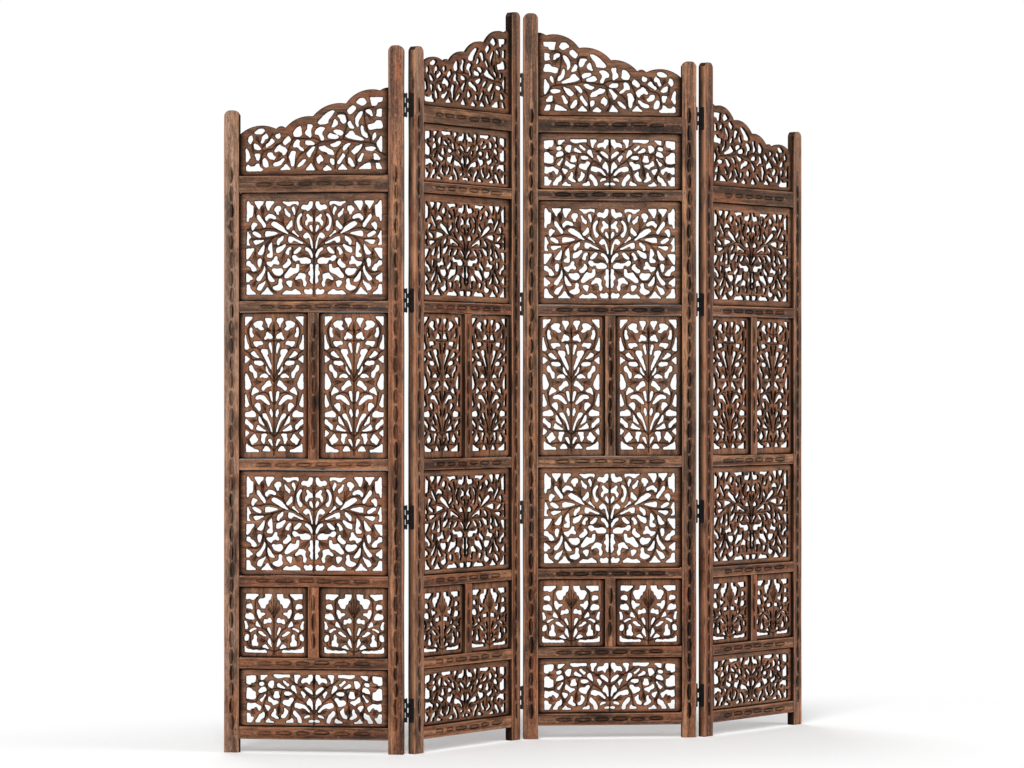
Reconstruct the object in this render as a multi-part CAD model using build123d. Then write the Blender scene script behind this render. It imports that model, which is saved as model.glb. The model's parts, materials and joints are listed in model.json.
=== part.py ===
from build123d import *
import math
import os

os.makedirs("parts", exist_ok=True)

# Carved jali screen: four hinged leaves of framed, pierced fretwork. Millimetres, +Z up.
# The origin is on the floor, at the middle of the ground that the standing screen covers.
# The leaves are numbered from the left, seen from the front, which looks towards -Y.

# ---------------------------------------------------------------- driving sizes

leaf_width = 398.0
thickness = 19.0
stile_width = 34.0
outer_stile_height = 1406.0
fold_stile_height = 1544.0
centre_stile_height = 1650.0
crown_height = 11.0  # the round top of a stile

foot_height = 30.0  # the stiles' feet below the bottom rail
bottom_rail_height = 28.0
cross_rail_height = 25.0
crest_rail_height = 38.0
muntin_width = 25.0

bottom_bay_height = 126.0
square_bay_height = 154.0
lower_tree_bay_height = 230.0
tall_bay_height = 320.0
upper_tree_bay_height = 237.0
top_bay_height = 129.0

fret_thickness = 7.0
groove_depth = 6.0
groove_side_gap = 0.1  # beside a fret or tenon, each side
groove_end_gap = 0.5  # between a fret's or tenon's end and the bottom of its groove
side_margin = 8.0  # plain wood round the piercing, at the stiles and muntins
rail_margin = 12.0  # and at the rails
leaf_shoulder = 0.4  # where a leaf is widest, as a share of its length from the base
smallest_opening = 25.0  # square millimetres: nothing smaller is pierced

crest_rim = 13.0  # plain band under the crest's scalloped top
# Cusps of the crest from its tall end: share of the span, height over the rail, rise of the next lobe.
crest_cusps = [
    (0.0, 190.0, 1.5),
    (0.055, 184.0, 13.0),
    (0.285, 156.0, 10.5),
    (0.507, 129.0, 8.5),
    (0.692, 104.0, 5.0),
    (0.753, 102.0, 13.0),
    (1.0, 90.0, 0.0),
]
lobe_cuts = 4

hinge_height = 52.0
plate_thickness = 1.5
plate_inset = 2.0  # from the plate's free edge to the leaf's far face
knuckle_count = 3
knuckle_gap = 0.2
barrel_radius = 3.0
barrel_sides = 6
pin_radius = 1.5
pin_sides = 6
pin_clearance = 0.1
pin_proud = 1.2  # past the barrel at each end
barrel_clearance = 0.25  # between the barrel and what it turns beside
pin_stand_off = 1.0  # from the leaf's face out to the pin's axis
hinge_centres = [95.0, 516.0, 989.0]  # heights of the three lower hinges
top_hinge_drop = 129.0  # from the top of the stile down to the highest hinge
centre_top_hinge_drop = 163.0

leaf_2_heading = 28.2  # degrees, from +X towards +Y
fold_1_angle = 61.9  # degrees between two leaves: 0 is flat, 180 is shut
fold_2_angle = 48.0
fold_3_angle = 45.1

# ---------------------------------------------------------------- derived sizes

span = leaf_width - 2 * stile_width
bay_width = (span - muntin_width) / 2
groove_width = fret_thickness + 2 * groove_side_gap
insert = groove_depth - groove_end_gap
barrel_reach = barrel_radius / math.cos(math.pi / barrel_sides) + barrel_clearance
pin_out = thickness / 2 + pin_stand_off  # from the leaf's mid plane to the pin's axis
knuckle_length = (hinge_height - (knuckle_count - 1) * knuckle_gap) / knuckle_count

# ---------------------------------------------------------------- carving


def strip(points, start_width, end_width):
    """A flat stem along a polyline, tapering from one end to the other."""
    left, right = [], []
    last = len(points) - 1
    for i, (x, y) in enumerate(points):
        before, after = points[max(i - 1, 0)], points[min(i + 1, last)]
        along = Vector(after[0] - before[0], after[1] - before[1]).normalized()
        half = (start_width + (end_width - start_width) * i / last) / 2
        left.append((x - along.Y * half, y + along.X * half))
        right.append((x + along.Y * half, y - along.X * half))
    return Polygon(*left, *reversed(right), align=None)


def leaf_blade(base, tip, width):
    """A flat pointed leaf, widest at its shoulders."""
    x, y = base
    dx, dy = tip[0] - x, tip[1] - y
    half = width / 2 / math.hypot(dx, dy)
    left = (x + leaf_shoulder * dx - dy * half, y + leaf_shoulder * dy + dx * half)
    right = (x + leaf_shoulder * dx + dy * half, y + leaf_shoulder * dy - dx * half)
    return Polygon(base, left, tip, right, align=None)


def carving(design, width, height):
    """Stems and leaves of one half of a design, stretched to the width and height given."""

    def place(points):
        return [(x * width, y * height) for x, y in points]

    shapes = [strip(place(points), a, b) for points, a, b in design["stems"]]
    shapes += [leaf_blade(*place((base, tip)), w) for base, tip, w in design["leaves"]]
    return Sketch() + shapes


def pierced(board, window, lattice):
    """A board with the window cut through it, except where the lattice crosses."""
    openings = [f for f in (window - lattice).faces() if f.area > smallest_opening]
    sheet = board - openings
    return extrude(Plane.XZ * sheet, amount=fret_thickness / 2, both=True)


# Half designs. Points are shares of the half width, from the middle line, and of the height.
# A stem has its points, its width at the root and its width at the tip; a leaf has its base,
# its tip and its width. The middle line's own stem and leaf are drawn whole.

tree = {
    "stems": [
        ([(0, 0), (0, 0.62)], 9, 6),
        ([(0, 0.40), (0.44, 0.64), (1, 0.56)], 8, 5),
        ([(0.38, 0.61), (0.74, 0.36), (0.60, 0)], 8, 5),
    ],
    "leaves": [
        ((0, 0.54), (0, 1), 58),
        ((0.67, 0.18), (0, 0.22), 62),
        ((0.74, 0.35), (1, 0.26), 42),
        ((0.45, 0.63), (0.44, 1), 62),
        ((0.64, 0.61), (0.94, 0.90), 42),
    ],
}
spray = {
    "stems": [
        ([(0, 0), (0, 1)], 7, 7),
        ([(0, 0.06), (0.44, 0.26), (1, 0.28)], 7, 5),
        ([(0, 0.50), (0.46, 0.72), (1, 0.74)], 7, 5),
    ],
    "leaves": [
        ((0, 0.20), (0, 0.46), 50),
        ((0.44, 0.25), (0.84, 0.46), 40),
        ((0, 0.48), (1, 0.60), 44),
        ((0.46, 0.71), (0.50, 1), 48),
    ],
}
palmette = {
    "stems": [
        ([(0, 0), (0, 0.62)], 7, 6),
        ([(0, 0.18), (0.52, 0.50), (0.78, 1)], 8, 5),
    ],
    "leaves": [
        ((0, 0.40), (0, 1), 66),
        ((0, 0.05), (1, 0.12), 56),
        ((0.52, 0.49), (1, 0.66), 34),
    ],
}
low_spray = {
    "stems": [
        ([(0, 0), (0, 1)], 8, 8),
        ([(0, 0.12), (0.34, 0.62), (0.72, 0.60), (0.74, 0)], 8, 5),
    ],
    "leaves": [
        ((0, 0.44), (0, 1), 50),
        ((0, 0.06), (0.73, 0.30), 46),
        ((0.35, 0.62), (0.42, 1), 46),
        ((0.73, 0.34), (1, 0.30), 36),
    ],
}
vine = {
    "stems": [
        ([(0, 0.08), (0.16, 0.50), (0.38, 0.58), (0.60, 0.32), (1, 0.28)], 10, 6),
        ([(0.36, 0.57), (0.46, 0)], 7, 5),
    ],
    "leaves": [
        ((0.05, 0.21), (0.44, 0.12), 50),
        ((0.15, 0.48), (0.10, 0.95), 50),
        ((0.31, 0.55), (0.32, 0.86), 40),
        ((0.45, 0.14), (0.60, 0.32), 44),
        ((0.68, 0.30), (0.84, 0), 44),
        ((0.72, 0.30), (0.88, 0.58), 36),
    ],
}


def panel_fret(design, width, height):
    """A carved panel for one bay, symmetric about its middle, standing on the bay's floor."""
    half = carving(design, width / 2, height)
    lattice = half + mirror(half, about=Plane.YZ)
    middle = Pos(0, height / 2)
    board = middle * Rectangle(width + 2 * insert, height)
    window = middle * Rectangle(width - 2 * side_margin, height - 2 * rail_margin)
    return pierced(board, window, lattice)


def crest_top(left, rim):
    """The crest's cusps, with its ends at left and span - left, lowered by rim."""
    return [(left + share * (span - 2 * left), height - rim) for share, height, _ in crest_cusps]


def crest_board():
    """The crest's scalloped outline, its tall end at x = 0. Each lobe is a parabola of straight cuts."""
    points = crest_top(0, 0)
    outline = [(0, 0), points[0]]
    for (x0, y0), (x1, y1), (_, _, rise) in zip(points, points[1:], crest_cusps):
        chord = math.hypot(x1 - x0, y1 - y0)
        for cut in range(1, lobe_cuts + 1):
            share = cut / lobe_cuts
            lift = 4 * share * (1 - share) * rise / chord
            outline.append((x0 + share * (x1 - x0) - lift * (y1 - y0), y0 + share * (y1 - y0) + lift * (x1 - x0)))
    return Polygon(*outline, (span, 0), align=None)


def crest_fret():
    """The scalloped crest with its vine, its tall end at x = 0 and its low end at x = span."""
    tall, low = crest_cusps[0][1], crest_cusps[-1][1]
    lattice = carving(vine, span, tall)
    tongues = Pos(-insert / 2, tall / 2) * Rectangle(insert, tall)
    tongues += Pos(span + insert / 2, low / 2) * Rectangle(insert, low)
    window_floor = [(span - side_margin, rail_margin), (side_margin, rail_margin)]
    window = Polygon(*crest_top(side_margin, crest_rim), *window_floor, align=None)
    return pierced(crest_board() + tongues, window, lattice)


# ---------------------------------------------------------------- frame


def stile(height, groove_top, inner_side):
    """A stile with its middle at x = 0 and its groove on the inner side, -1 or +1."""
    half = stile_width / 2
    shoulder = height - crown_height
    profile = make_face(
        [
            Polyline((-half, shoulder), (-half, 0), (half, 0), (half, shoulder)),
            ThreePointArc((half, shoulder), (0, height), (-half, shoulder)),
        ]
    )
    body = extrude(Plane.XZ * profile, amount=thickness / 2, both=True)
    groove_length = groove_top + groove_end_gap - foot_height
    groove = Pos(inner_side * (half - groove_depth / 2), 0, foot_height + groove_length / 2)
    return body - groove * Box(groove_depth, groove_width, groove_length)


def rail(height):
    """A rail with a stub tenon at each end."""
    return Box(span, thickness, height) + Box(span + 2 * insert, fret_thickness, height)


def muntin(height):
    """A muntin with a groove down each side."""
    body = Box(muntin_width, thickness, height)
    for side in (-1, 1):
        groove = Pos(side * (muntin_width - groove_depth) / 2, 0, 0)
        body -= groove * Box(groove_depth, groove_width, height)
    return body


# ---------------------------------------------------------------- hinges


def hinge_plate(side):
    """One plate of a hinge with its knuckles, about the pin at x = y = 0.

    The wood is beyond x = side * barrel_reach and at negative y. The plate on side -1 carries
    the first, third and fifth knuckles, and the one on side +1 those between.
    """
    far_edge = pin_out + thickness / 2 - plate_inset
    plate_width = far_edge - barrel_reach
    plate_x = side * (barrel_reach - plate_thickness / 2)
    plate = Pos(plate_x, -barrel_reach - plate_width / 2) * Box(plate_thickness, plate_width, hinge_height)
    barrel = RegularPolygon(barrel_radius, barrel_sides, major_radius=False, rotation=180 / barrel_sides)
    barrel += Pos(plate_x, -barrel_reach / 2) * Rectangle(plate_thickness, barrel_reach)
    barrel -= RegularPolygon(pin_radius + pin_clearance, pin_sides, major_radius=False)
    knuckle = extrude(barrel, amount=knuckle_length / 2, both=True)
    first = 0 if side < 0 else 1
    for index in range(first, knuckle_count, 2):
        height = (index - (knuckle_count - 1) / 2) * (knuckle_length + knuckle_gap)
        plate += Pos(0, 0, height) * knuckle
    return plate


def hinge_pin():
    """The pin, with its middle at the origin."""
    section = RegularPolygon(pin_radius, pin_sides)
    return extrude(section, amount=hinge_height / 2 + pin_proud, both=True)


# ---------------------------------------------------------------- where the leaves stand

headings = {
    1: leaf_2_heading - fold_1_angle,
    2: leaf_2_heading,
    3: leaf_2_heading - fold_2_angle,
    4: leaf_2_heading - fold_2_angle + fold_3_angle,
}
# Folds 1 and 3 have their pins behind the leaves, fold 2 in front of them.
pin_side = {1: 1, 2: -1, 3: 1}


def right_pin(number):
    """From a leaf's bottom left corner, in its mid plane, to the pin on its right."""
    return Pos(leaf_width + barrel_reach, pin_side[number] * pin_out)


def left_pin(number):
    """From a leaf's bottom left corner, in its mid plane, to the pin on its left."""
    return Pos(-barrel_reach, pin_side[number - 1] * pin_out)


leaf_places = {2: Rot(0, 0, headings[2])}
pin_1 = leaf_places[2] * left_pin(2)
leaf_places[1] = Pos(pin_1.position) * Rot(0, 0, headings[1]) * right_pin(1).inverse()
for number in (3, 4):
    pin_before = leaf_places[number - 1] * right_pin(number - 1)
    leaf_places[number] = Pos(pin_before.position) * Rot(0, 0, headings[number]) * left_pin(number).inverse()

corners = [
    (place * Pos(x, y)).position
    for place in leaf_places.values()
    for x in (0, leaf_width)
    for y in (-thickness / 2, thickness / 2)
]
middle_x = (min(c.X for c in corners) + max(c.X for c in corners)) / 2
middle_y = (min(c.Y for c in corners) + max(c.Y for c in corners)) / 2
leaf_places = {number: Pos(-middle_x, -middle_y) * place for number, place in leaf_places.items()}

# ---------------------------------------------------------------- leaves

outer_bays = [
    ("bottom_fret", bottom_bay_height),
    ("square_frets", square_bay_height),
    ("lower_tree_fret", lower_tree_bay_height),
    ("tall_frets", tall_bay_height),
    ("upper_tree_fret", upper_tree_bay_height),
]
inner_bays = outer_bays + [("top_fret", top_bay_height)]
designs = {
    "bottom_fret": low_spray,
    "square_frets": palmette,
    "lower_tree_fret": tree,
    "tall_frets": spray,
    "upper_tree_fret": tree,
    "top_fret": low_spray,
}
split_bays = ("square_frets", "tall_frets")  # two frets side by side, with a muntin between


def write(name, place, solids):
    """Writes one node: its solids, moved from the leaf's or fold's own frame to their place."""
    export_step(Compound([place * solid for solid in solids]), f"parts/{name}.step")


def leaf(number, bays, left_height, right_height):
    """Writes the wooden pieces of one leaf, whose crest is tall on the side of its taller stile."""
    place = leaf_places[number]
    middle = leaf_width / 2
    prefix = f"leaf_{number}_"
    frets, muntins, rails = {}, [], []
    floor = foot_height + bottom_rail_height
    for name, height in bays:
        if name in split_bays:
            offset = (bay_width + muntin_width) / 2
            fret = panel_fret(designs[name], bay_width, height)
            frets[name] = [Pos(middle + side * offset, 0, floor) * fret for side in (-1, 1)]
            muntins.append(Pos(middle, 0, floor + height / 2) * muntin(height))
        else:
            frets[name] = [Pos(middle, 0, floor) * panel_fret(designs[name], span, height)]
        if name != bays[0][0]:
            rails.append(Pos(middle, 0, floor - cross_rail_height / 2) * rail(cross_rail_height))
        floor += height + cross_rail_height
    crest_floor = floor - cross_rail_height + crest_rail_height

    crest = crest_fret()
    if left_height > right_height:
        crest = Pos(stile_width, 0, crest_floor) * crest
        crest_ends = crest_cusps[0][1], crest_cusps[-1][1]
    else:
        crest = Pos(leaf_width - stile_width, 0, crest_floor) * mirror(crest, about=Plane.YZ)
        crest_ends = crest_cusps[-1][1], crest_cusps[0][1]
    frets["crest_fret"] = [crest]
    for name, solids in frets.items():
        write(prefix + name, place, solids)

    bottom_rail = Pos(middle, 0, foot_height + bottom_rail_height / 2) * rail(bottom_rail_height)
    crest_rail = Pos(middle, 0, crest_floor - crest_rail_height / 2) * rail(crest_rail_height)
    write(prefix + "bottom_rail", place, [bottom_rail])
    write(prefix + "cross_rails", place, rails)
    write(prefix + "crest_rail", place, [crest_rail])
    write(prefix + "muntins", place, muntins)

    left = stile(left_height, crest_floor + crest_ends[0], 1)
    right = stile(right_height, crest_floor + crest_ends[1], -1)
    write(prefix + "left_stile", place * Pos(stile_width / 2), [left])
    write(prefix + "right_stile", place * Pos(leaf_width - stile_width / 2), [right])


leaf(1, outer_bays, outer_stile_height, fold_stile_height)
leaf(2, inner_bays, fold_stile_height, centre_stile_height)
leaf(3, inner_bays, centre_stile_height, fold_stile_height)
leaf(4, outer_bays, fold_stile_height, outer_stile_height)

# ---------------------------------------------------------------- folds


def fold(number, top_hinge):
    """Writes the four hinges of one fold: the plates on either leaf, and the pins."""
    turn = Rot(0, 0, 0 if pin_side[number] > 0 else 180)
    wood_side = pin_side[number]  # turning the hinge round swaps which plate meets which leaf
    heights = hinge_centres + [top_hinge]
    left_place = leaf_places[number] * right_pin(number) * turn
    right_place = leaf_places[number + 1] * left_pin(number + 1) * turn
    prefix = f"fold_{number}_"
    write(prefix + "left_plates", left_place, [Pos(0, 0, z) * hinge_plate(-wood_side) for z in heights])
    write(prefix + "right_plates", right_place, [Pos(0, 0, z) * hinge_plate(wood_side) for z in heights])
    write(prefix + "pins", left_place, [Pos(0, 0, z) * hinge_pin() for z in heights])
    axis = left_place.position
    print(f"fold {number}: pin at x {axis.X:.3f}, y {axis.Y:.3f}")


fold(1, fold_stile_height - top_hinge_drop)
fold(2, centre_stile_height - centre_top_hinge_drop)
fold(3, fold_stile_height - top_hinge_drop)
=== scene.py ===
import json
import math

import bpy
import numpy as np
from mathutils.geometry import delaunay_2d_cdt
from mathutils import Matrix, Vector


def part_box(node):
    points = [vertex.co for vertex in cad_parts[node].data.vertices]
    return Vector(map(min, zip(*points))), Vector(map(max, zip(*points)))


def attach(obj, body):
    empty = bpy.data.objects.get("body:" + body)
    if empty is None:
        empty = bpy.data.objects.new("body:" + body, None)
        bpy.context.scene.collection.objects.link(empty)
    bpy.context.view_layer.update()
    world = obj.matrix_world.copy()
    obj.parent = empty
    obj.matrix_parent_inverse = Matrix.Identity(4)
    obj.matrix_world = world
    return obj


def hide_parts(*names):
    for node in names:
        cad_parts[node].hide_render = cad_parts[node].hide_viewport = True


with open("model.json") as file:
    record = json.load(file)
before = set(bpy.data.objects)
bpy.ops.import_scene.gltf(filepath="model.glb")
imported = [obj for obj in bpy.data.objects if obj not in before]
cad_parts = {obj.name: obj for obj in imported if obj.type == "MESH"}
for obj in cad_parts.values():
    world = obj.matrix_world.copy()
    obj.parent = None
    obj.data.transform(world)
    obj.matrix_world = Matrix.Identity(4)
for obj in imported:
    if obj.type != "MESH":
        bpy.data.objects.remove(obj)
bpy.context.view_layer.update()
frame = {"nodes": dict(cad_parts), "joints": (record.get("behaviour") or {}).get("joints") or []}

bl_info = {
    "name": "Carved Jali Screen",
    "version": (1, 0, 0),
    "blender": (4, 5, 0),
    "location": "3D View > Sidebar > Jali Screen",
    "description": "Carved fretwork, worn wooden frames and iron hinges for a folding jali screen",
    "category": "Object",
}

MM = 0.001
LEAVES = (1, 2, 3, 4)
FOLDS = (1, 2, 3)

# The wood of each leaf, from 0 for red to 1 for grey.
LEAF_TONES = {1: 0.45, 2: 0.15, 3: 0.70, 4: 0.20}
# How much one board or bar differs from its leaf's tone, how much the tone rises in a metre of
# height, and the height where it is the leaf's own.
TONE_SPREAD = 0.25
TONE_RISE = 0.6
TONE_HEIGHT = 0.8
# How much greyer the rails are than the stiles, and the crests than the other frets.
RAIL_GREYER = 0.2
CREST_GREYER = -0.4
# How far apart two pieces can lie in the log that all the wood is cut from, in metres.
LOG = 20
# How black the chain has gone on each leaf.
CHAIN_SOOT = {1: 0.72, 2: 0.88, 3: 1.0, 4: 0.92}
# Stiles that are more bleached and dusty than the others, and by how much.
BLEACHED = {"leaf_1_left_stile": 0.50, "leaf_2_left_stile": 0.30, "leaf_4_right_stile": 0.20}
# Pieces with an even film of soot, and how thick it is.
SOOT_FILM = {"crest_fret": 0.24, "crest_rail": 0.24}

# Links of the carved chain: how far apart, the share of that left as a gap, how much of the inside is
# cut away on its own side, and the share of that on the far side, how blunt the ends are (less is
# blunter), how deep the weaker side's gouge is, and how far the spacing strays in metres.
STILE_LINK = {
    "pitch": 0.038, "gap": 0.12, "fill": 0.90, "far": 0.35, "blunt": 0.70, "weak": 0.65, "stray": 0.004,
}
RAIL_LINK = {
    "pitch": 0.042, "gap": 0.20, "fill": 0.20, "far": 0.60, "blunt": 0.42, "weak": 0.85, "stray": 0.005,
}
# How the links differ: the least and the most strength of a gouge, the sideways shift in metres, and
# the least and the most of the usual gap and fill.
LINK_STRENGTH = (0.75, 1.0)
LINK_SHIFT = 0.0007
LINK_GAP = (0.5, 1.5)
LINK_FILL = (0.65, 1.2)
# Metres: the waves in the spacing, the soft edge of a link's inside, and half a bud between two links.
STRAY_LENGTH = 0.03
INSIDE_EDGE = 0.0008
BUD_HALF = 0.0022
# Where the chain stops: on a stile from its foot and past the crest rail, on a rail as a share of its
# length from each end, and on a muntin from each end. Metres, but for the share.
STILE_CHAIN_FOOT = 0.045
STILE_CHAIN_PAST = 0.02
RAIL_CHAIN_END = 0.11
MUNTIN_CHAIN_END = 0.02

# ---------------------------------------------------------------- the jali designs, in millimetres
#
# "holes" are the pierced openings, each a ring of corners. "stems" are the engraved middle lines of
# the branches. Both are written as x,z points, with a semicolon after each ring or line. "leaves" are
# engraved leaves: base, tip and width. In a panel they are drawn for one half: out from the middle
# line, and up from the floor of the bay. In the crest they are drawn whole: from the tall end, and up
# from the crest rail. "bay" is the height of the bay that the design is drawn for, and "rise" is how
# much of a millimetre each drawn unit goes up.

TREE = {
    "bay": 230.0,
    "rise": 0.97,
    "holes": """
        146,223 149,222 150,215 150,180 149,176 146,176 145,182 143,186 138,186 136,190 135,200 135,212
        140,213 143,218;
        112,222 133,222 132,218 128,212 125,206 122,203 120,209 117,213 113,216;
        88,221 92,222 107,222 108,217 107,210 105,205 104,201 100,201 98,206 94,212 90,217;
        34,216 35,221 45,221 60,220 71,221 68,218 63,215 60,211 53,211 50,214 44,216 39,215 38,213 36,212;
        3,213 3,220 5,221 11,221 12,217 14,213 18,212 22,214 26,213 29,208 28,204 23,203 19,203 15,200
        10,201 8,204 5,206 4,210;
        73,203 73,208 76,211 82,211 86,208 89,204 88,200 85,198 84,193 81,191 78,192 78,198 75,200;
        53,187 52,193 56,196 60,200 64,206 67,204 65,200 64,195 63,191 60,190 58,187 55,185;
        43,190 42,195 41,199 43,206 45,210 48,209 50,206 49,201 46,197 45,191;
        84,184 85,187 90,191 96,193 102,193 105,189 109,186 109,181 106,177 103,180 100,184 94,184 89,181
        85,182;
        107,166 108,170 112,176 117,183 121,190 125,193 128,189 127,183 123,178 119,173 115,167 113,163
        109,163;
        126,171 130,172 134,175 138,172 140,166 139,158 136,156 133,160 131,164 127,167;
        57,149 62,154 66,160 70,165 76,169 83,174 90,176 94,173 96,170 93,167 88,163 83,160 76,156 70,153
        63,150 59,148;
        48,166 48,174 50,179 52,178 55,173 60,167 63,163 61,159 57,158 53,162 49,165;
        27,194 31,194 35,190 38,184 39,178 38,170 36,162 33,156 31,154 28,155 26,158 25,161 28,164 32,168
        33,174 32,181 30,186 27,190;
        3,176 3,184 6,186 10,189 13,193 17,193 18,189 15,184 16,180 20,176 20,170 18,166 16,166 14,170
        13,174 9,176 5,176;
        3,151 3,160 6,168 9,168 11,164 10,159 6,154;
        117,142 118,146 122,149 127,152 132,154 138,152 136,148 132,145 127,142 121,140;
        79,149 85,152 92,153 103,155 109,153 109,142 100,143 92,145 85,147;
        33,142 36,145 40,149 43,154 46,157 49,155 50,152 45,149 40,146 36,142;
        3,114 3,122 4,129 6,136 8,143 12,149 16,151 20,149 25,143 22,139 17,137 15,140 11,139 10,136 9,130
        7,122 5,115;
        140,140 141,143 144,148 147,155 149,154 150,123 142,122 141,124 145,128 145,134 144,138;
        111,134 120,134 130,134 136,132 133,127 130,124 124,126 117,130 112,132;
        68,143 71,143 76,139 80,137 83,132 83,126 81,123 77,124 76,129 72,132 69,135 68,139;
        23,126 25,129 32,132 40,136 46,140 53,142 57,142 58,134 57,130 52,128 48,129 47,133 43,133 35,129
        28,126;
        111,126 113,122 117,118 121,112 127,104 122,101 116,101 113,105 111,112 110,120;
        94,130 97,127 101,122 103,116 102,112 99,110 98,107 101,104 105,102 106,99 105,96 96,95 92,97
        92,108 93,118;
        63,122 64,125 68,124 74,120 80,118 84,116 85,111 85,106 80,105 76,107 72,109 69,112 67,116 64,119;
        50,117 54,119 59,115 63,108 64,104 60,102 57,100 55,104 55,110 51,113;
        3,100 5,106 9,113 15,117 20,117 20,112 13,107 9,100 6,94 4,94;
        27,117 33,119 38,115 43,110 46,106 44,103 38,104 32,108 30,112;
        133,113 134,116 151,115 151,92 148,91 144,96 140,101 136,108;
        7,86 9,82 14,81 28,81 31,84 32,89 38,89 40,86 45,88 48,92 49,97 46,100 40,99 35,94 26,93 20,95
        14,94 8,90;
        127,68 130,73 133,77 136,80 139,80 141,84 143,87 150,87 151,78 147,76 142,74 140,70 139,65 133,64
        128,66;
        117,83 116,89 119,93 124,92 126,88 126,82 125,77 122,73 119,75 118,80;
        77,80 78,85 82,89 81,94 83,98 87,98 89,94 91,90 95,86 100,85 105,85 106,82 103,78 99,75 95,73
        93,76 91,80 86,81 81,79;
        51,84 54,90 57,93 60,91 59,87 62,84 66,80 70,78 70,73 66,71 60,72 55,77 52,80;
        33,78 34,80 40,79 40,73 43,70 48,71 53,73 57,68 61,62 66,54 66,50 63,48 57,49 51,54 45,58 38,60
        34,64 33,70;
        3,79 8,80 10,77 9,66 13,62 13,57 9,54 8,50 9,47 10,43 7,38 3,35 2,60;
        69,66 72,70 76,71 82,69 88,70 93,70 95,67 92,62 88,57 82,55 76,54 72,57 69,61;
        108,70 110,78 112,74 114,66 119,58 126,51 129,47 127,43 121,42 117,47 112,56 109,62;
        87,42 90,46 94,51 98,57 102,64 104,61 103,52 102,46 98,41 93,40 88,40;
        136,46 137,50 142,54 147,58 151,61 151,40 143,40 143,44;
        18,55 22,58 30,60 34,59 36,55 41,50 43,45 40,44 36,46 30,48 27,46 25,42 24,38 25,33 23,29 19,29
        17,34 16,38 19,42 20,48;
        70,42 72,46 77,48 79,44 79,38 81,33 86,31 92,29 93,26 88,22 80,20 74,22 70,25 69,29 71,34 72,38;
        48,41 55,43 62,41 61,36 58,32 53,27 50,30 49,36;
        108,45 111,40 117,37 123,34 126,29 128,24 124,21 118,20 115,26 112,31 110,35 108,40;
        129,14 133,17 138,21 141,25 142,30 144,34 150,34 151,12 130,12;
        90,12 95,16 99,22 103,28 105,28 110,20 115,16 119,12;
        29,12 31,17 36,20 41,24 46,22 50,19 56,19 62,21 67,17 71,13 70,12;
        4,12 3,20 7,25 11,23 13,21 18,23 22,23 23,18 21,15 19,12;
    """,
    "stems": """
        0,8 0,190;
        0,112 10,121 20,130 30,138 40,144 52,149 64,150;
        64,150 80,156 95,160 110,160 120,157 134,158 148,158;
        64,149 78,144 90,141 100,138 112,137 140,137;
        88,141 96,134 104,125 108,115 109,106 112,97;
        0,90 4,110 12,119 24,123 40,123 56,124 70,124 90,120;
        48,118 48,104 50,90 52,78 58,69 68,58 74,51 88,50 98,62 106,76 112,94;
        112,92 114,78 119,67 127,61 146,63;
        107,76 106,60 105,46 100,34 94,22 84,15;
        1,146 10,153 20,160 27,172 28,186 24,198;
        44,152 44,166 42,182 38,197 34,208;
        54,151 62,160 70,171 82,178 96,179 104,172 110,179 115,190 117,202 115,218;
    """,
    "leaves": [
        ((6, 97), (44, 102), 15), ((8, 80), (34, 60), 20), ((46, 48), (28, 26), 16),
        ((66, 108), (72, 80), 15), ((130, 114), (132, 82), 15), ((126, 46), (138, 26), 12),
        ((66, 168), (76, 198), 18), ((130, 186), (131, 214), 12), ((112, 190), (113, 214), 10),
        ((0, 184), (0, 216), 18),
    ],
}

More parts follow.
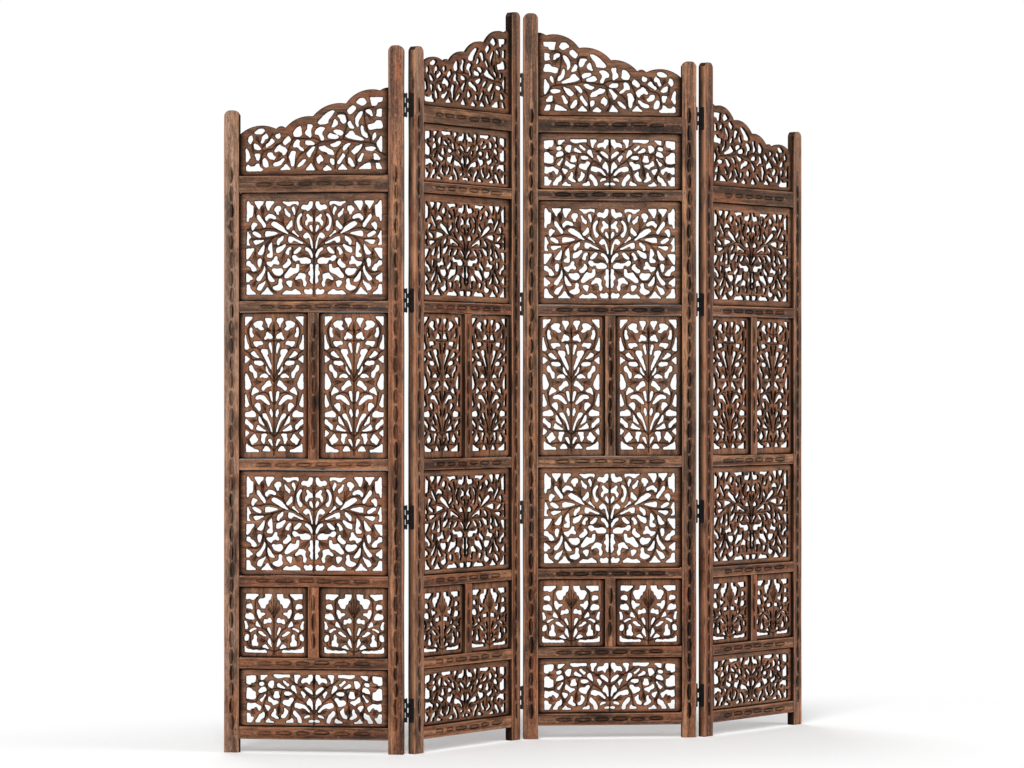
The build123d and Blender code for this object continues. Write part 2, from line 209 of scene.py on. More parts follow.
SPRAY = {
    "bay": 320.0,
    "rise": 1.0,
    "holes": """
        47,311 50,306 55,301 60,295 63,291 65,292 65,311;
        24,282 22,284 24,286 28,290 26,295 25,300 29,302 38,302 43,299 47,295 44,290 41,287 38,288 34,284
        30,281;
        5,301 6,307 9,308 20,308 21,305 18,299 15,294 14,288 12,287 11,292 8,297;
        45,269 47,274 49,278 48,284 51,288 54,287 55,278 54,270 52,266 47,266;
        4,264 4,269 7,273 12,275 15,278 18,275 19,269 23,264 21,260 18,261 15,264 9,263;
        24,251 26,255 29,258 36,257 44,257 47,255 44,249 41,245 38,245 34,249 27,250;
        55,243 57,249 60,256 62,263 63,271 65,272 66,262 66,240 62,239 58,240;
        4,235 5,243 6,251 8,255 12,253 13,250 11,244 9,238 7,231 5,231;
        6,195 6,203 9,212 12,221 16,226 13,230 14,236 15,239 22,240 28,240 30,236 26,229 22,222 17,212
        12,203 8,196;
        32,222 36,225 41,231 45,236 49,234 53,231 50,227 45,224 38,221 33,221;
        53,218 58,222 63,226 65,225 65,209 61,212 56,216;
        23,207 25,211 29,214 35,214 44,214 46,211 43,206 39,206 34,204 27,205;
        38,180 38,189 43,193 46,198 49,205 53,206 56,202 55,194 51,191 48,190 46,182 44,177 40,177;
        8,184 9,187 13,192 15,198 17,203 19,202 19,194 15,188 11,184;
        13,180 15,183 19,186 25,186 29,184 33,180 33,177 29,178 26,179 22,177 14,178;
        51,163 53,170 56,177 59,184 62,187 64,188 65,180 65,153 62,151 57,152 53,156;
        6,162 8,168 11,172 15,170 18,168 21,164 24,160 28,157 28,151 24,149 21,151 18,155 13,158 7,160;
        33,149 37,152 42,156 45,157 48,152 50,146 51,140 49,139 46,142 42,144 36,146;
        55,118 57,124 60,132 62,140 64,143 65,138 65,113 60,113 57,116;
        9,119 12,125 16,131 22,138 29,140 36,139 41,136 42,132 38,130 34,131 30,131 25,127 20,123 15,119
        11,118;
        3,127 4,136 5,145 6,148 11,148 12,145 10,138 8,131 5,125 4,125;
        31,105 30,112 31,119 33,122 39,122 43,119 45,116 42,113 38,109 34,104;
        5,91 3,95 4,103 6,109 9,110 10,105 11,101 8,96 7,91;
        40,94 41,100 45,104 50,106 55,103 60,102 65,101 65,92 58,92 50,91 42,92;
        4,58 5,66 8,76 11,84 14,91 17,97 19,99 25,99 27,97 25,92 21,87 16,83 12,75 9,66 7,60;
        21,73 23,76 27,83 30,89 33,94 35,93 35,85 34,79 31,77 27,75 23,72;
        47,65 47,74 50,76 53,79 57,82 60,86 64,87 65,82 65,77 60,74 57,72 54,67 51,64;
        17,62 22,64 28,68 33,72 36,75 38,73 39,69 41,66 39,63 33,62 27,61 20,60;
        55,57 60,61 64,64 65,48 63,49 59,52;
        35,43 39,46 41,52 43,55 46,54 49,50 53,45 56,42 53,37 51,32 47,31 45,35 40,36 37,40;
        15,52 17,55 27,55 29,53 28,48 30,43 29,39 27,37 25,33 22,33 21,38 20,44 18,49;
        3,28 4,34 6,41 8,44 13,43 14,41 11,37 8,32 5,28;
        34,17 36,20 43,21 48,24 53,27 57,29 60,33 62,33 63,29 63,15 35,15;
        8,17 10,22 13,26 17,28 21,27 23,23 26,19 25,17;
    """,
    "stems": """
        0,8 0,282;
        2,50 10,56 22,58 36,58 46,60 58,66 64,70;
        0,48 10,60 20,77 30,94 42,106 49,116 52,130 54,146;
        1,120 9,133 15,143 26,145 34,142;
        0,174 7,192 14,206 22,220 31,236 38,243 50,244 53,256 57,270 58,284 50,300;
        0,168 8,178 14,187 21,203 28,218 48,217 54,229 64,237;
        0,258 12,258 24,260;
        1,18 12,30 24,30 36,30 46,28 54,31 60,44;
    """,
    "leaves": [
        ((18, 102), (24, 126), 13), ((24, 168), (50, 168), 18), ((18, 188), (42, 200), 15),
        ((38, 84), (52, 84), 13), ((28, 262), (44, 284), 15), ((4, 280), (22, 284), 10),
        ((0, 262), (0, 306), 10),
    ],
}

PALMETTE = {
    "bay": 154.0,
    "rise": 1.0,
    "holes": """
        35,138 63,138 63,127 55,128 52,126 46,125 43,128 39,132 35,135;
        5,138 20,138 20,131 23,128 30,128 34,126 36,121 33,116 31,111 28,107 20,107 19,112 17,116 13,117
        12,124 8,126 6,131;
        47,106 48,112 51,117 55,116 61,115 63,111 62,107 55,106 50,104;
        19,95 22,97 29,97 31,102 34,104 38,105 39,98 37,92 34,85 30,85 28,90 23,92;
        44,86 46,92 50,96 54,97 58,94 63,95 65,88 62,84 56,83 47,82 44,83;
        5,77 6,83 9,86 12,86 15,82 23,83 24,73 18,73 16,76 9,75;
        30,66 32,70 35,75 38,79 41,76 42,70 41,68 36,67 31,65;
        58,68 60,72 62,78 66,79 67,77 65,73 65,61 60,61 58,65;
        6,49 7,56 9,62 11,65 14,65 16,62 13,56 10,51 8,48;
        39,62 43,64 47,63 52,61 55,59 56,56 53,54 49,57 45,60 40,61;
        17,46 19,49 23,51 26,55 31,57 35,56 36,54 32,51 28,48 24,46 18,45;
        56,47 58,50 63,49 66,44 66,36 62,35 57,38 56,42;
        38,44 40,48 42,51 45,49 46,44 45,40 48,37 50,35 50,25 37,24 35,26 35,30 38,33 39,39;
        5,22 6,28 7,34 9,40 12,42 13,38 15,34 13,29 9,25 6,21;
        11,19 14,22 17,27 21,28 24,25 28,23 26,21 21,20 15,18;
        15,11 17,13 20,16 26,15 34,14 38,16 46,15 54,17 60,18 63,23 66,24 66,11 60,10 18,10;
    """,
    "stems": """
        0,6 0,96;
        0,30 8,44 17,58 25,63;
        25,62 28,74 36,82 41,92 42,108 40,124 33,136;
        0,12 14,17 30,19 48,20 58,26 60,34;
        53,30 53,48 58,54 65,56;
    """,
    "leaves": [
        ((0, 86), (0, 138), 24), ((2, 88), (14, 116), 12), ((14, 34), (36, 38), 13),
        ((44, 72), (58, 80), 12), ((52, 100), (64, 102), 7),
    ],
}

LOW_SPRAY = {
    "bay": 126.0,
    "rise": 1.0,
    "holes": """
        129,108 131,111 151,109 151,93 147,91 141,91 140,95 134,95 130,98 129,103;
        103,112 119,111 119,101 115,101 111,103 106,108 103,110;
        53,111 54,113 90,113 91,111 87,107 82,105 76,105 70,106 66,107 60,107 53,107;
        31,113 43,113 45,110 43,103 43,98 40,94 37,94 37,99 35,104 31,108 30,111;
        3,111 4,113 12,113 14,107 18,105 24,105 28,101 29,96 27,94 22,96 16,97 13,93 11,91 9,94 8,98 4,101
        3,106;
        110,94 114,97 122,95 123,91 121,88 115,88 112,90;
        88,100 96,100 100,97 103,92 102,88 98,85 95,83 92,83 90,87 89,94;
        64,84 68,87 73,90 77,94 80,94 83,90 81,86 75,84 66,82;
        55,92 60,94 63,98 69,101 70,98 66,93 61,89 59,87 57,88 55,90;
        38,72 39,78 41,84 43,89 48,90 52,86 51,81 47,78 43,75 40,71;
        3,71 4,77 9,82 16,86 20,86 22,83 18,79 13,75 8,72 4,69;
        106,79 107,82 109,85 112,86 118,84 121,81 124,76 123,73 117,73 112,75 107,77;
        130,75 136,77 140,82 144,84 150,83 151,60 140,58 132,59 129,62;
        79,77 88,76 89,70 91,66 90,62 85,61 78,62 76,64 76,67 78,70;
        48,71 51,74 58,76 66,75 67,71 65,68 58,67 51,69;
        18,69 21,73 26,77 30,77 29,72 26,68 24,63 22,61 20,66;
        106,69 110,70 113,64 118,60 122,57 119,54 117,52 114,55 111,62;
        79,54 84,56 90,57 96,62 100,66 102,62 103,57 102,54 97,52 93,50 92,46 89,46 85,49 80,51;
        45,60 48,63 54,62 56,58 60,57 65,58 69,56 71,52 69,48 64,46 59,44 54,43 52,48 49,53 46,57;
        117,42 119,44 125,47 131,51 140,49 149,51 150,36 144,34 141,36 139,39 134,38 133,41 129,42 126,38
        124,34 121,33 119,37;
        8,31 10,35 15,41 20,46 28,49 33,51 40,52 43,49 44,45 42,41 38,41 35,39 30,39 26,41 20,38 16,34
        12,31;
        3,36 3,46 4,54 7,60 10,63 12,60 15,56 17,52 15,48 10,46 7,42 5,37;
        96,41 98,44 108,47 110,45 107,40 105,35 102,33 100,36;
        84,31 85,37 88,39 90,36 90,32 93,29 96,25 95,22 90,19 84,16 79,16 78,18 81,21 85,24 85,28;
        57,34 60,36 62,38 65,41 67,39 66,34 67,30 69,26 73,24 74,20 72,17 67,18 63,20 61,24 58,29;
        134,20 140,20 142,26 144,28 150,28 150,8 140,8 137,12 134,17;
        110,29 112,31 114,31 116,27 119,27 123,24 126,18 130,13 131,8 120,8 119,13 117,16 112,18 110,22;
        27,11 29,17 31,22 34,26 37,29 40,33 44,35 47,32 47,27 43,22 39,19 37,14 36,8 29,7;
        88,9 92,11 97,12 99,16 103,17 105,13 108,11 109,8 90,7;
        47,17 50,18 54,14 59,13 63,10 62,8 48,8 45,10;
        9,24 12,25 18,24 21,21 23,18 21,17 16,19 11,20 8,22;
        1,13 4,15 9,14 13,12 12,9 7,9 3,9 1,11;
    """,
    "stems": """
        0,4 0,112;
        1,28 10,42 18,50 28,58 40,66 48,77 60,80 84,82 98,80 106,76;
        0,60 12,68 22,78 32,88 44,94 54,102;
        40,62 46,52 50,40 52,26 56,12;
        70,80 74,66 75,52 79,42 80,30 76,16;
        104,78 105,66 109,54 113,42 107,28 110,14;
        108,74 120,70 126,62 128,54 140,54 150,56;
        104,80 106,90 110,99 122,98 126,110;
    """,
    "leaves": [
        ((4, 26), (34, 36), 12), ((34, 84), (14, 92), 12), ((0, 84), (0, 110), 14),
        ((136, 40), (134, 20), 14), ((76, 44), (76, 24), 12), ((104, 34), (104, 18), 12),
        ((92, 66), (98, 82), 12), ((66, 66), (52, 62), 8), ((130, 87), (148, 88), 8),
    ],
}

# The crest's cusps: the share of the span from the tall end, the height, and how high the arc from a
# cusp to the next one rises over its chord.
CREST_CUSPS = [(0.0, 190.0, 1.5), (0.055, 184.0, 13.0), (0.285, 156.0, 10.5), (0.507, 129.0, 8.5),
               (0.692, 104.0, 5.0), (0.753, 102.0, 13.0), (1.0, 90.0, 0.0)]
CREST = {
    "bay": 190.0,
    "rise": 1.0,
    "holes": """
        13,162 13,169 42,169 40,164 39,157 37,151 27,151 25,154 23,158 15,159;
        48,158 51,162 52,166 58,168 65,167 69,163 73,159 70,156 66,155 61,152 57,151 52,153;
        72,147 75,150 80,152 84,149 88,145 92,141 90,136 86,132 81,134 77,138 73,142;
        15,128 15,143 18,144 24,143 27,141 26,137 27,132 29,129 22,127 17,126;
        34,129 36,133 37,139 41,142 46,143 51,141 50,137 46,134 43,133 41,130 38,128;
        57,138 61,139 66,136 70,131 74,124 74,113 71,107 68,104 66,108 67,114 65,120 61,126 58,133;
        13,103 13,108 15,114 17,118 24,119 28,118 30,115 34,112 40,111 45,110 47,108 44,99 38,98 32,100
        25,101 16,101;
        76,103 79,108 82,113 85,118 88,118 91,113 89,107 88,104 83,102 78,101;
        94,117 95,125 97,131 104,132 112,131 114,129 109,125 107,119 104,115 100,112 96,113;
        112,112 113,117 116,120 119,123 121,121 123,115 125,109 127,106 124,104 118,106 114,109;
        119,140 122,141 128,141 134,138 140,134 146,129 150,124 155,119 157,114 154,112 150,111 137,112
        133,114 133,119 131,123 127,128 123,133;
        45,81 46,87 49,91 53,93 55,98 56,105 60,109 62,104 62,98 60,90 57,86 52,82 48,80;
        53,76 56,79 62,82 68,85 74,88 76,93 80,96 86,96 89,92 93,88 97,85 90,81 82,79 72,77 60,75;
        100,93 104,97 110,99 121,99 123,95 117,91 110,88 104,86 101,89;
        110,83 112,86 118,88 124,90 128,92 131,92 134,88 136,85 133,81 128,80 120,79 112,80;
        140,102 145,105 150,106 156,104 160,101 163,97 164,92 161,89 156,89 154,86 152,82 151,78 148,76
        145,76 142,79 144,84 147,89 147,93 144,98;
        168,108 171,111 176,111 180,112 180,106 180,101 184,97 186,92 183,88 179,86 175,83 172,83 171,88
        172,95 171,101 169,105;
        192,91 193,97 193,103 195,107 200,107 204,104 207,101 210,97 212,93 210,86 205,84 196,85 192,88;
        15,49 14,56 14,70 15,84 18,85 20,80 22,76 25,73 27,68 25,63 22,57 18,51;
        27,86 28,91 32,92 35,87 36,82 36,77 34,75 31,79 28,82;
        28,58 33,61 40,62 47,61 52,60 51,56 48,54 43,53 37,52 33,53 30,56;
        58,66 62,67 66,64 70,64 74,61 78,57 83,52 80,48 76,45 72,47 68,50 64,55 60,61;
        84,68 85,70 91,69 96,67 100,63 102,58 101,54 98,53 94,56 91,60 88,64 85,66;
        104,72 108,74 114,74 119,71 125,69 130,67 128,64 122,61 116,62 110,65;
        120,45 122,51 125,55 130,57 136,60 141,64 144,65 148,63 154,63 155,58 150,54 144,52 138,51 135,47
        130,45 122,44;
        163,69 166,72 171,75 180,76 184,76 185,72 183,67 178,66 170,66 165,67;
        187,55 190,59 194,61 197,64 198,70 196,75 199,78 204,78 208,74 211,69 212,64 210,61 203,62 200,60
        198,57 193,54 188,53;
        216,76 217,80 220,84 222,86 226,83 230,79 234,75 235,71 232,68 228,66 225,69 220,73;
        239,86 240,90 242,93 245,91 249,90 252,88 251,84 248,81 244,80 240,82;
        252,74 255,78 259,81 262,80 264,75 268,71 272,69 273,66 273,63 270,61 266,64 261,67 256,71;
        267,82 267,86 270,91 272,93 274,90 278,88 281,84 281,80 283,76 284,72 281,70 278,71 275,76 274,80
        270,80;
        273,99 277,102 283,103 290,101 293,98 297,96 298,93 295,91 290,91 285,91 281,91 276,95;
        300,78 301,83 303,88 306,88 310,85 312,80 312,75 309,71 306,69 304,73;
        282,58 285,62 289,67 294,69 297,71 300,69 299,64 298,59 294,57 288,56 284,57;
        225,55 228,60 233,62 238,65 241,68 244,66 248,63 250,59 254,55 252,51 248,51 245,53 243,54 240,51
        236,50 235,46 232,44 229,46 227,50;
        250,41 255,43 257,49 263,51 268,50 270,46 268,41 264,37 257,35 253,35 251,38;
        163,62 166,63 170,61 174,57 178,53 183,48 180,43 177,39 174,39 172,43 170,49 166,55;
        205,51 207,53 214,54 217,51 219,46 222,41 220,36 218,32 217,26 216,21 212,19 209,22 208,28 208,36
        207,44;
        285,44 286,48 297,48 298,45 295,40 294,35 291,33 287,33 286,38;
        306,39 308,45 310,52 313,57 316,60 318,57 317,45 317,31 314,30 311,33 309,37;
        18,35 20,38 24,43 28,46 33,47 34,44 33,40 34,36 31,33 24,33 19,33;
        54,45 57,48 60,47 63,42 66,37 69,33 67,29 64,28 60,30 59,35 57,40;
        74,19 77,25 80,31 83,36 87,38 90,38 90,28 87,24 83,20 79,18;
        96,41 98,46 101,48 104,43 108,38 112,32 114,28 113,24 108,25 104,30 100,36;
        120,23 120,34 124,36 128,37 130,35 130,30 128,25 124,22;
        144,33 146,38 150,43 153,45 156,41 159,39 160,34 158,28 155,25 153,24 152,28 149,30 146,30;
        182,34 186,35 190,34 194,30 198,27 202,22 203,19 199,18 195,20 190,23 186,28;
        230,34 231,38 236,37 240,33 245,30 250,29 254,28 257,24 255,21 250,20 244,21 239,23 235,28;
        266,21 267,27 268,31 271,35 274,39 277,38 280,35 280,29 279,24 277,20 272,18 267,18;
        14,13 17,19 20,26 24,26 29,26 28,20 28,16 25,13;
        38,13 39,20 41,27 46,26 54,23 61,18 67,14 66,13;
        91,13 97,19 102,25 107,19 113,14 111,12 92,12;
        125,13 130,17 136,22 140,19 146,13 142,10 127,11;
        163,12 167,18 172,27 177,21 184,13 182,11 165,11;
        216,13 222,19 226,24 229,25 233,20 241,13 239,12;
        278,13 282,16 286,19 287,26 289,27 295,25 297,21 301,20 308,20 310,24 314,24 317,20 317,12 312,10
        282,10;
    """,
    "stems": """
        8,44 24,52 30,66 40,70 66,72 84,74 104,78 134,74 150,72 160,66 172,64 184,54 196,45 204,33 207,16;
        40,70 41,84 47,96 51,110 53,126 52,142 42,147 32,147;
        100,80 96,94 92,108 91,124 97,135 112,135;
        150,74 164,81 188,80 210,81 215,70 220,60 224,46 223,30;
        54,66 60,56 70,45 72,34 70,24 76,14;
        90,62 88,50 93,42 94,30 90,20;
        106,60 112,52 116,42 117,30 118,14;
        158,62 159,50 164,38 165,26 158,12;
        236,72 250,66 258,58 270,56 278,50 282,38 284,24;
        256,90 262,84 266,76 274,68 280,62;
        300,50 302,62 303,70;
    """,
    "leaves": [
        ((48, 132), (30, 116), 18), ((286, 70), (294, 88), 13), ((246, 36), (237, 50), 12),
        ((24, 30), (46, 32), 12), ((128, 56), (146, 44), 12),
    ],
}

# ---------------------------------------------------------------- settings


def metres(name, description, default, **limits):
    """A property that is a length in metres."""
    return bpy.props.FloatProperty(
        name=name, description=description, default=default, unit="LENGTH", **limits)


def tint(name, description, default):
    """A property that is a colour."""
    return bpy.props.FloatVectorProperty(
        name=name, description=description, default=default, subtype="COLOR", min=0, max=1)


class JaliCarvingSettings(bpy.types.PropertyGroup):
    """Sizes of the pierced and engraved boards."""

    grid_step: metres(
        "Grid step", "Spacing of the points that the carving is worked out on", 0.0018, min=0.0008)
    corner_cut: metres("Corner cut", "How far an opening's corners are rounded back", 0.0013)
    edge_round: metres("Edge round", "Width of the worn round along every carved edge", 0.0021)
    edge_drop: metres("Edge drop", "How far the worn round falls back from the face", 0.0013)
    groove_half: metres("Groove half width", "Half the width of an engraved stem line", 0.0015)
    groove_drop: metres("Groove depth", "Depth of an engraved stem line", 0.0017)
    vein_drop: metres("Vein depth", "Depth of the veins cut in a leaf", 0.0013)
    wander: metres("Wander", "How far the knife strays from the drawn line", 0.0003)
    widen: metres("Widen", "How far each opening is cut past its drawn line", 0.00035)
    tuck: metres("Tuck", "How far a board's sides run on into the grooves", 0.0005)
    board: metres("Board thickness", "Thickness of a fret", 0.007)


class JaliFrameSettings(bpy.types.PropertyGroup):
    """Sizes of the stiles, rails and muntins."""

    thickness: metres("Thickness", "Thickness of a leaf's frame", 0.019)
    stile_width: metres("Stile width", "Width of a stile across its face", 0.034)
    crown: metres("Crown", "Height of the round top of a stile", 0.011)
    shoulder: bpy.props.FloatProperty(
        name="Shoulder", description="How far the shoulders fall, as a share of the crown", default=0.85)
    arris: metres("Arris", "Radius worn onto every long edge", 0.0018)
    station: metres("Station", "Spacing of the sections along a bar", 0.0030)
    lens_half: metres("Lens half width", "Half the width of one link of the chain", 0.0038)
    gouge_half: metres("Gouge half width", "Half the width of a gouge", 0.0013)
    gouge_depth: metres("Gouge depth", "Depth of a gouge in the carved chain", 0.0018)


class JaliHingeSettings(bpy.types.PropertyGroup):
    """Sizes of the butt hinges."""

    height: metres("Height", "Height of a hinge", 0.052)
    plate: metres("Plate thickness", "Thickness of a hinge plate", 0.0010)
    plate_inset: metres("Plate inset", "From a plate's free edge to the leaf's far face", 0.002)
    barrel: metres("Barrel radius", "Radius of the knuckles", 0.0022)
    knuckles: bpy.props.IntProperty(
        name="Knuckles", description="How many knuckles a hinge has in all", default=5, min=3)
    pin: metres("Pin radius", "Radius of the hinge pin's head", 0.0012)
    screw: metres("Screw radius", "Radius of a screw's head", 0.0025)


class JaliFinishSettings(bpy.types.PropertyGroup):
    """Colours of the wood, the iron and the floor."""

    light: tint("Light wood", "Colour of rubbed, warm wood", (0.300, 0.100, 0.042))
    middle: tint("Middle wood", "Colour of most of the wood", (0.132, 0.046, 0.018))
    grey: tint("Weathered wood", "Colour of the greyer, weathered patches", (0.125, 0.076, 0.047))
    burnt: tint("Burnt wood", "Colour in the grooves and pores", (0.005, 0.003, 0.002))
    iron: tint("Iron", "Colour of the black hinges", (0.012, 0.011, 0.011))
    floor: tint("Floor", "Colour of the floor", (0.90, 0.90, 0.90))


class JaliStageSettings(bpy.types.PropertyGroup):
    """Where the camera stands and how the screen is lit."""

    camera_back: bpy.props.FloatVectorProperty(
        name="Camera place", description="From leaf 1's front left corner on the floor to the camera",
        default=(-2.8351, -7.1789, 0.7954), subtype="TRANSLATION", unit="LENGTH")
    camera_turn: bpy.props.FloatProperty(
        name="Camera turn", description="How far the camera looks to the right of straight ahead",
        default=math.radians(26.24), subtype="ANGLE", unit="ROTATION")
    lens: bpy.props.FloatProperty(
        name="Lens", description="Focal length in millimetres on a 36 mm sensor", default=123.5)
    shift: bpy.props.FloatProperty(
        name="Shift", description="Camera shift upwards, as a share of the picture's width", default=0.0051)
    key: bpy.props.FloatProperty(
        name="Key light", description="Power of the large soft lamp in watts", default=300.0)
    sky: bpy.props.FloatProperty(
        name="Sky", description="Strength of the even light from all round", default=0.40)


SETTINGS = {
    "jali_carving": JaliCarvingSettings,
    "jali_frame": JaliFrameSettings,
    "jali_hinge": JaliHingeSettings,
    "jali_finish": JaliFinishSettings,
    "jali_stage": JaliStageSettings,
}


# ---------------------------------------------------------------- meshes

SHARP = math.radians(38)
WAVES = 6
WAVE_PITCH = (0.6, 1.7)


def mesh_piece(name, mesh, body, finish, nodes):
    """A mesh object of triangles that rides on a body and stands for CAD nodes.

    A mesh is points as rows of x, y, z in metres, triangles as rows of three point numbers, and
    attributes with a value for each point or for each corner of each triangle. Edges sharper than
    38 degrees stay sharp.
    """
    points, triangles, attributes = mesh
    count = len(triangles)
    data = bpy.data.meshes.new(name)
    data.vertices.add(len(points))
    data.vertices.foreach_set("co", np.asarray(points, np.float32).ravel())
    data.loops.add(3 * count)
    data.loops.foreach_set("vertex_index", np.asarray(triangles, np.int32).ravel())
    data.polygons.add(count)
    data.polygons.foreach_set("loop_start", np.arange(0, 3 * count, 3, dtype=np.int32))
    data.polygons.foreach_set("use_smooth", np.ones(count, bool))
    for key, values in attributes.items():
        at_points = len(values) == len(points)
        vector = at_points and values.ndim == 2
        attribute = data.attributes.new(
            key, "FLOAT_VECTOR" if vector else "FLOAT", "POINT" if at_points else "CORNER")
        attribute.data.foreach_set("vector" if vector else "value", np.asarray(values, np.float32).ravel())
    data.update(calc_edges=True)
    data.set_sharp_from_angle(angle=SHARP)
    data.materials.append(bpy.data.materials[finish])
    piece = bpy.data.objects.new(name, data)
    bpy.context.scene.collection.objects.link(piece)
    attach(piece, body)
    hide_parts(*nodes)
    return piece


def joined(parts):
    """Several meshes put one after another as one."""
    points, triangles, attributes, start = [], [], {}, 0
    for some_points, some_triangles, some_attributes in parts:
        points.append(some_points)
        triangles.append(some_triangles + start)
        start += len(some_points)
        for key, values in some_attributes.items():
            attributes.setdefault(key, []).append(values)
    return (np.concatenate(points), np.concatenate(triangles),
            {key: np.concatenate(values) for key, values in attributes.items()})


def smooth_noise(x, y, seed):
    """Six sine waves of random direction, phase and pitch, about -1 to 1: the sum of
    sin(pitch (x cos turn + y sin turn) + phase) / 3."""
    random = np.random.default_rng(seed)
    total = np.zeros(np.broadcast(x, y).shape)
    for turn, phase, pitch in zip(random.uniform(0, 2 * np.pi, WAVES), random.uniform(0, 2 * np.pi, WAVES),
                                  random.uniform(*WAVE_PITCH, WAVES)):
        total += np.sin(pitch * (x * np.cos(turn) + y * np.sin(turn)) + phase)
    return total / 3


def ring_sides(rows, size):
    """The triangles between the rows of a tube, each row a closed ring of that size."""
    here = np.arange(rows - 1)[:, None] * size + np.arange(size)
    beside = np.arange(rows - 1)[:, None] * size + (np.arange(size) + 1) % size
    quads = np.stack([here, beside, beside + size, here + size], -1).reshape(-1, 4)
    return np.concatenate([quads[:, [0, 1, 2]], quads[:, [0, 2, 3]]])


# ---------------------------------------------------------------- where a leaf stands


def middle(node):
    """The middle of a node's box."""
    low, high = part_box(node)
    return (low + high) / 2


class LeafPlace:
    """A leaf's own axes: u along it from its left edge, v back from its mid plane, z up."""

    def __init__(self, number):
        """Reads the axes, the left edge and the width from where the leaf's two stiles stand."""
        width = bpy.context.scene.jali_frame.stile_width
        left, right = middle(f"leaf_{number}_left_stile"), middle(f"leaf_{number}_right_stile")
        along = np.array([right.x - left.x, right.y - left.y])
        gap = np.hypot(*along)
        self.along = along / gap
        self.back = np.array([-self.along[1], self.along[0]])
        self.origin = np.array([left.x, left.y]) - self.along * width / 2
        self.width = gap + width
        self.tone = LEAF_TONES[number]

    def world(self, u, v, z):
        """Rows of world x, y, z for leaf coordinates: origin + u along + v back, and z kept."""
        plan = self.origin + np.multiply.outer(u, self.along) + np.multiply.outer(v, self.back)
        return np.column_stack([plan, z])


def placed(place, mesh, u, floor, flip, seed, greyer=0.0):
    """A board or bar, in millimetres, set into its leaf at u and the floor, with its own wood.

    The wood's coordinates are metres along the grain, which is its longer side, across the grain
    and through it, from a part of the log that the seed picks. The tone is the leaf's own and the
    greyer, give or take a quarter. It rises by 0.6 a metre, as the screen is greyer at its top.
    """
    points, faces, masks = mesh
    x, depth, z = points.T * MM
    if flip:
        x, faces = -x, faces[:, ::-1]
        masks = {key: values[:, ::-1] for key, values in masks.items()}
    wood = np.column_stack([x, z, depth] if np.ptp(x) > np.ptp(z) else [z, x, depth])
    random = np.random.default_rng(seed)
    spread = random.uniform(-TONE_SPREAD, TONE_SPREAD)
    tone = place.tone + greyer + spread + TONE_RISE * (floor + z - TONE_HEIGHT)
    own = {"wood": wood + random.uniform(-LOG, LOG, 3), "tone": tone}
    return place.world(u + x, depth, floor + z), faces, {**masks, **own}


def sooted(mesh, name):
    """The mesh with its film of soot, which takes "dark" that share of the way up to 1."""
    points, faces, masks = mesh
    film = SOOT_FILM.get(name, 0.0)
    return points, faces, {**masks, "dark": film + (1 - film) * masks["dark"]}


# ---------------------------------------------------------------- carving as a field

# A leaf's cuts, as shares of its length and width: how far its midrib runs, and where a side vein
# starts and ends, along the leaf and across it.
MIDRIB = 0.82
SIDE_VEIN = ((0.20, 0.07), (0.70, 0.27))
# The vein's width as a share of a stem line's.
VEIN_WIDTH = 0.75
CREST_ARC_POINTS = 13
# Millimetres: how far from an opening its distance is worked out, what counts as the distance beyond
# that, and the length of the slow and the quick wave in the openings' edges.
RING_REACH = 9
FAR = 50.0
SLOW_WAVE = 4.5
QUICK_WAVE = 1.3
TINY = 1e-9


def corner_cut(ring, cut):
    """The ring with each corner replaced by three points of a parabola through its two sides.

    The parabola starts and ends the cut away from the corner, or a third of the side if less.
    """
    ring = np.asarray(ring, float)
    ends = []
    for side in (np.roll(ring, 1, 0) - ring, np.roll(ring, -1, 0) - ring):
        length = np.linalg.norm(side, axis=1, keepdims=True)
        ends.append(ring + side / length * np.minimum(cut, length / 3))
    start, end = ends
    bend = ring * 0.5 + (start + end) * 0.25
    return np.stack([start, bend, end], 1).reshape(-1, 2)


def line_distance(x, z, line):
    """Distance from each point to a polyline: the least distance to any of its segments."""
    least = np.full(x.shape, np.inf)
    for (x0, z0), (x1, z1) in zip(line, line[1:]):
        dx, dz = x1 - x0, z1 - z0
        share = np.clip(((x - x0) * dx + (z - z0) * dz) / max(dx * dx + dz * dz, TINY), 0, 1)
        least = np.minimum(least, np.hypot(x - x0 - share * dx, z - z0 - share * dz))
    return least


def ring_distance(x, z, ring):
    """Signed distance to a closed ring, negative inside: a point is inside if it crosses an odd
    number of the ring's sides on its way out along +x."""
    ring = np.asarray(ring, float)
    inside = np.zeros(x.shape, bool)
    for (x0, z0), (x1, z1) in zip(ring, np.roll(ring, -1, 0)):
        if z0 != z1:
            crosses = (z0 > z) != (z1 > z)
            inside ^= crosses & (x < (x1 - x0) * (z - z0) / (z1 - z0) + x0)
    distance = line_distance(x, z, [*ring, ring[0]])
    return np.where(inside, -distance, distance)


def soft_line(points, per_span=6):
    """A Catmull-Rom curve through the points, sampled evenly in each span."""
    points = np.asarray(points, float)
    ends = np.vstack([2 * points[0] - points[1], points, 2 * points[-1] - points[-2]])
    t = np.linspace(0, 1, per_span, endpoint=False)[:, None]
    spans = [0.5 * (2 * b + (c - a) * t + (2 * a - 5 * b + 4 * c - d) * t ** 2
                    + (3 * b - a - 3 * c + d) * t ** 3)
             for a, b, c, d in zip(ends, ends[1:], ends[2:], ends[3:])]
    return np.vstack([*spans, points[-1:]])


def leaf_swell(x, z, base, tip, width):
    """How far a point is inside a leaf's ellipse: 1 - along^2 - across^2, each a share of the half
    axis, so 1 in the leaf's middle and 0 at its edge and beyond."""
    base, tip = np.asarray(base, float), np.asarray(tip, float)
    axis = (tip - base) / 2
    length = np.hypot(*axis)
    away = np.stack([x, z], -1) - (base + tip) / 2
    along = away @ axis / length ** 2
    across = (away[..., 1] * axis[0] - away[..., 0] * axis[1]) / length / (width / 2)
    return np.clip(1 - along ** 2 - across ** 2, 0, 1)


